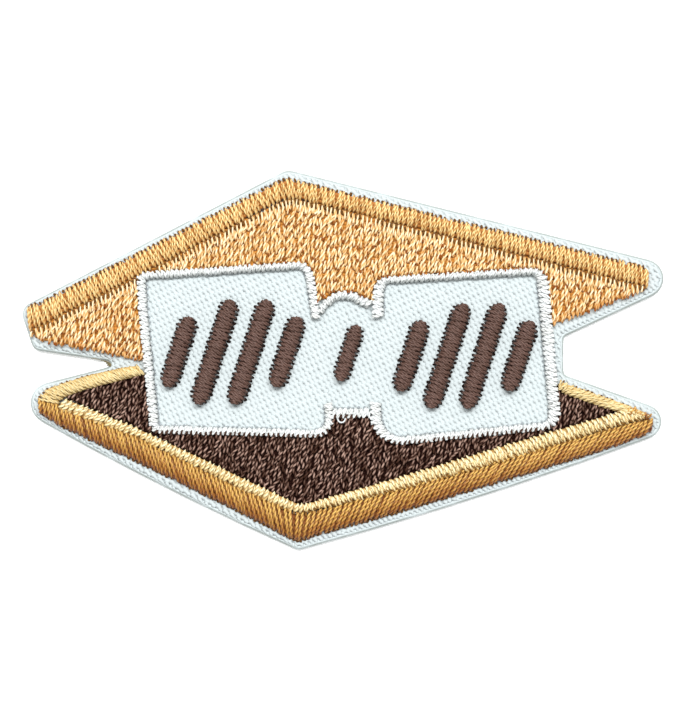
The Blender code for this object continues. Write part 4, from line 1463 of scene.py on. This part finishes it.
class PATCH_OT_needle_gaps(bpy.types.Operator):
    """Sink small dark bowls of painted shade into the gaps between the needle points of the columns' edges"""

    bl_idname = "patch.needle_gaps"
    bl_label = "Sink needle gaps"

    def execute(self, context):
        threads = settings()[0]
        rng = np.random.default_rng(101)
        cloth = CLOTH_TOP + 0.06
        self.cracker_gaps(threads, rng, cloth)
        self.border_gaps(threads.border_pitch / MM, rng, cloth)
        pitch = 1.2 * threads.fine_pitch / MM
        # Black bowls of painted shade along both edges of every bar
        black = gap_shade_and_scorch_material("black_gap_shade", srgb(16, 8, 6), srgb(38, 24, 20))
        sets = [
            gap_set(pairs, edge, pitch, rng, share=1.0, level=cloth, length=0.46, width=0.32)
            for _, pairs in toast_bars() for edge in (0, 1)
        ]
        finish_piece(gap_piece("toast_bar_gaps", sets, black), "toast_brown_thread")
        return {"FINISHED"}

    def cracker_gaps(self, threads, rng, cloth):
        """Brown and tan bowls of painted shade in the gaps along the edges of both crackers' columns."""
        satin, rim, side = threads.satin_pitch / MM, threads.rim_pitch / MM, threads.side_pitch / MM
        brown = gap_shade_and_scorch_material("brown_gap_shade", srgb(56, 32, 10), srgb(122, 84, 38))
        rim_level, fill_level = cloth + 0.08, FILL_TOP - 0.08
        sets = [
            gap_set(
                UPPER_RIM, 0, satin, rng, share=0.97, level=rim_level, length=0.50, width=0.29, shift=-0.01,
                lean=0.15,
            ),
            gap_set(
                UPPER_RIM, 1, satin, rng, share=0.85, level=fill_level, length=0.56, width=0.20, shift=0.20,
            ),
        ]
        finish_piece(gap_piece("upper_rim_gaps", sets, brown), "golden_thread")
        sets = [
            gap_set(LOWER_RIM_LEFT, 0, rim, rng, share=0.80, level=cloth, length=0.42, width=0.22),
            gap_set(LOWER_RIM_RIGHT, 0, rim, rng, share=0.65, level=cloth + 0.04, length=0.42, width=0.24),
        ]
        finish_piece(gap_piece("pale_rim_gaps", sets, brown), "pale_yellow_thread")
        sets = [gap_set(SIDE_BAND, 0, side, rng, share=0.92, level=rim_level, length=0.42, width=0.34)]
        finish_piece(gap_piece("side_band_gaps", sets, brown), "amber_thread")
        tan = gap_shade_and_scorch_material("tan_gap_shade", srgb(92, 62, 24), srgb(140, 98, 44))
        seam_level, left_level, right_level = FILL_TOP - 0.02, FILL_TOP - 0.04, SATIN_TOP - 0.10
        sets = [
            gap_set(
                SIDE_BAND, 1, side, rng, share=1.0, level=seam_level, length=0.56, width=0.25, shift=-0.20,
            ),
            gap_set(LIGHT_BAND_LEFT, 0, satin, rng, share=0.45, level=left_level, length=0.30, width=0.18),
            gap_set(
                LIGHT_BAND_RIGHT, 0, satin, rng, share=0.80, level=right_level, length=0.70, width=0.15,
                shift=-0.26,
            ),
        ]
        finish_piece(gap_piece("band_seam_gaps", sets, tan), "amber_thread")

    def border_gaps(self, pitch, rng, cloth):
        """Grey bowls of painted shade beside the cloth and dark ones beside the chocolate, in the gaps along
        the marshmallows' borders.
        """
        left, right = panel_borders()
        grey = gap_shade_and_scorch_material("grey_gap_shade", srgb(122, 130, 134), srgb(166, 172, 176))
        inner = {
            "share": 0.88, "level": cloth + 0.02, "length": 0.26, "width": 0.24, "shift": 0.09,
            "rise": (-0.6, 1.0),
        }
        sets = [gap_set(pairs, 1, pitch, rng, **inner) for pairs in (left, right, MIDDLE_FOOT)]
        notch = gap_set(
            right, 0, pitch, rng, share=0.85, level=cloth, length=0.26, width=0.22, shift=0.04,
            rise=(-0.5, 0.5),
        )
        x, y = notch["place"].T
        sets.append(chosen(notch, (x > 0.0) & (np.abs(y - NOTCH_MIDDLE) < NOTCH_HALF_HEIGHT)))
        finish_piece(gap_piece("border_gaps", sets, grey), "white_thread")
        dark = gap_shade_and_scorch_material("chocolate_gap_shade", srgb(40, 24, 16), srgb(84, 60, 48))
        outer = {
            "share": 0.92, "level": FILL_TOP + 0.04, "length": 0.58, "width": 0.22, "shift": -0.16,
            "lean": -0.45, "rise": (-1.0, -0.5),
        }
        sets = [gap_set(pairs, 0, pitch, rng, **outer) for pairs in (left, right, MIDDLE_FOOT)]
        finish_piece(gap_piece("low_border_gaps", sets, dark), "chocolate_thread")


def gap_shade_and_scorch_material(name, dark, light):
    """Mottled matt colour between a dark and a light one: painted shade for the bowls in the needle gaps, and
    the singed fibres' own colour.
    """
    material, tree, shader = new_material(name, roughness=0.7, specular=0.1)
    mottle = noise(tree, object_place(tree), 900.0)
    tree.links.new(mixed(tree, mottle, dark, light), shader.inputs["Base Color"])
    return material


class PATCH_OT_stage(bpy.types.Operator):
    """Set the pale floor, the camera over the patch and the soft light"""

    bl_idname = "patch.stage"
    bl_label = "Set stage"

    def execute(self, context):
        colours, stage = settings()[2:]
        scene = context.scene
        scene.view_settings.view_transform = "Standard"
        scene.view_settings.look = "None"
        self.floor(colours)
        self.camera(scene, stage)
        self.lights(scene, stage)
        return {"FINISHED"}

    def floor(self, colours):
        """Level square just under the patch, with a faint mottle."""
        material, tree, shader = new_material("pale_floor", roughness=0.9, specular=0.1)
        mottle = noise(tree, object_place(tree), 40.0)
        colour = mixed(tree, mottle, scaled_colour(colours.floor, 0.985), tuple(colours.floor))
        tree.links.new(colour, shader.inputs["Base Color"])
        shader.inputs["Emission Color"].default_value = (1.0, 1.0, 1.0, 1.0)
        shader.inputs["Emission Strength"].default_value = FLOOR_GLOW
        plan = np.array([[-1.0, -1.0], [1.0, -1.0], [1.0, 1.0], [-1.0, 1.0]])
        corner = np.concatenate([FLOOR_REACH * plan, np.full((4, 1), FLOOR_LEVEL)], axis=1)
        mesh_piece("floor", corner, [np.array([[0, 1, 2, 3]])], plan, {}, material)

    def camera(self, scene, stage):
        """Camera straight above, so far off that frame_height fills the picture's long side."""
        data = bpy.data.cameras.new("camera")
        data.lens = stage.lens
        distance = stage.frame_height * data.lens / data.sensor_width
        data.clip_start, data.clip_end = distance * 0.05, distance * 20.0
        camera = bpy.data.objects.new("camera", data)
        camera.location = (0.0, 0.0, distance + CLOTH_TOP * MM)
        scene.collection.objects.link(camera)
        scene.camera = camera

    def lights(self, scene, stage):
        """Large key light from the top of the picture and an even white sky."""
        world = bpy.data.worlds.new("soft_sky")
        world.use_nodes = True
        background = world.node_tree.nodes["Background"]
        background.inputs["Color"].default_value = (1.0, 1.0, 1.0, 1.0)
        background.inputs["Strength"].default_value = stage.world_strength
        scene.world = world
        data = bpy.data.lights.new("key", "AREA")
        data.shape = "RECTANGLE"
        data.size, data.size_y = KEY_SIZE
        data.energy = stage.key_power
        key = bpy.data.objects.new("key", data)
        back, height = KEY_DISTANCE * math.cos(KEY_ELEVATION), KEY_DISTANCE * math.sin(KEY_ELEVATION)
        key.location = (0.0, back, height)
        key.rotation_euler = (-math.atan2(back, height), 0.0, 0.0)
        scene.collection.objects.link(key)


class PATCH_PT_panel(bpy.types.Panel):
    """Sidebar panel with the patch's sizes, colours and steps."""

    bl_label = "Patch"
    bl_idname = "PATCH_PT_panel"
    bl_space_type = "VIEW_3D"
    bl_region_type = "UI"
    bl_category = "Patch"

    def draw(self, context):
        for group in settings():
            box = self.layout.box()
            for name in group.__annotations__:
                box.prop(group, name)
        for step in STEPS:
            self.layout.operator(step.bl_idname)


STEPS = (
    PATCH_OT_backing,
    PATCH_OT_twill,
    PATCH_OT_cracker_face,
    PATCH_OT_upper_rim,
    PATCH_OT_lower_rims,
    PATCH_OT_light_band,
    PATCH_OT_side_band,
    PATCH_OT_chocolate,
    PATCH_OT_marshmallows,
    PATCH_OT_toast_bars,
    PATCH_OT_needle_gaps,
    PATCH_OT_stage,
)
GROUPS = {
    "patch_threads": PatchThreads,
    "patch_cloth": PatchCloth,
    "patch_colours": PatchColours,
    "patch_stage": PatchStage,
}


def register():
    """Adds the property groups to the scene, then the steps and the panel."""
    for name, group in GROUPS.items():
        bpy.utils.register_class(group)
        setattr(bpy.types.Scene, name, bpy.props.PointerProperty(type=group))
    for step in STEPS:
        bpy.utils.register_class(step)
    bpy.utils.register_class(PATCH_PT_panel)


def unregister():
    """Takes the panel, the steps and the property groups out again."""
    bpy.utils.unregister_class(PATCH_PT_panel)
    for step in reversed(STEPS):
        bpy.utils.unregister_class(step)
    for name, group in reversed(GROUPS.items()):
        delattr(bpy.types.Scene, name)
        bpy.utils.unregister_class(group)


def main():
    """Runs every step in order."""
    register()
    bpy.ops.patch.backing()
    bpy.ops.patch.twill()
    bpy.ops.patch.cracker_face()
    bpy.ops.patch.upper_rim()
    bpy.ops.patch.lower_rims()
    bpy.ops.patch.light_band()
    bpy.ops.patch.side_band()
    bpy.ops.patch.chocolate()
    bpy.ops.patch.marshmallows()
    bpy.ops.patch.toast_bars()
    bpy.ops.patch.needle_gaps()
    bpy.ops.patch.stage()


if __name__ == "__main__":
    main()
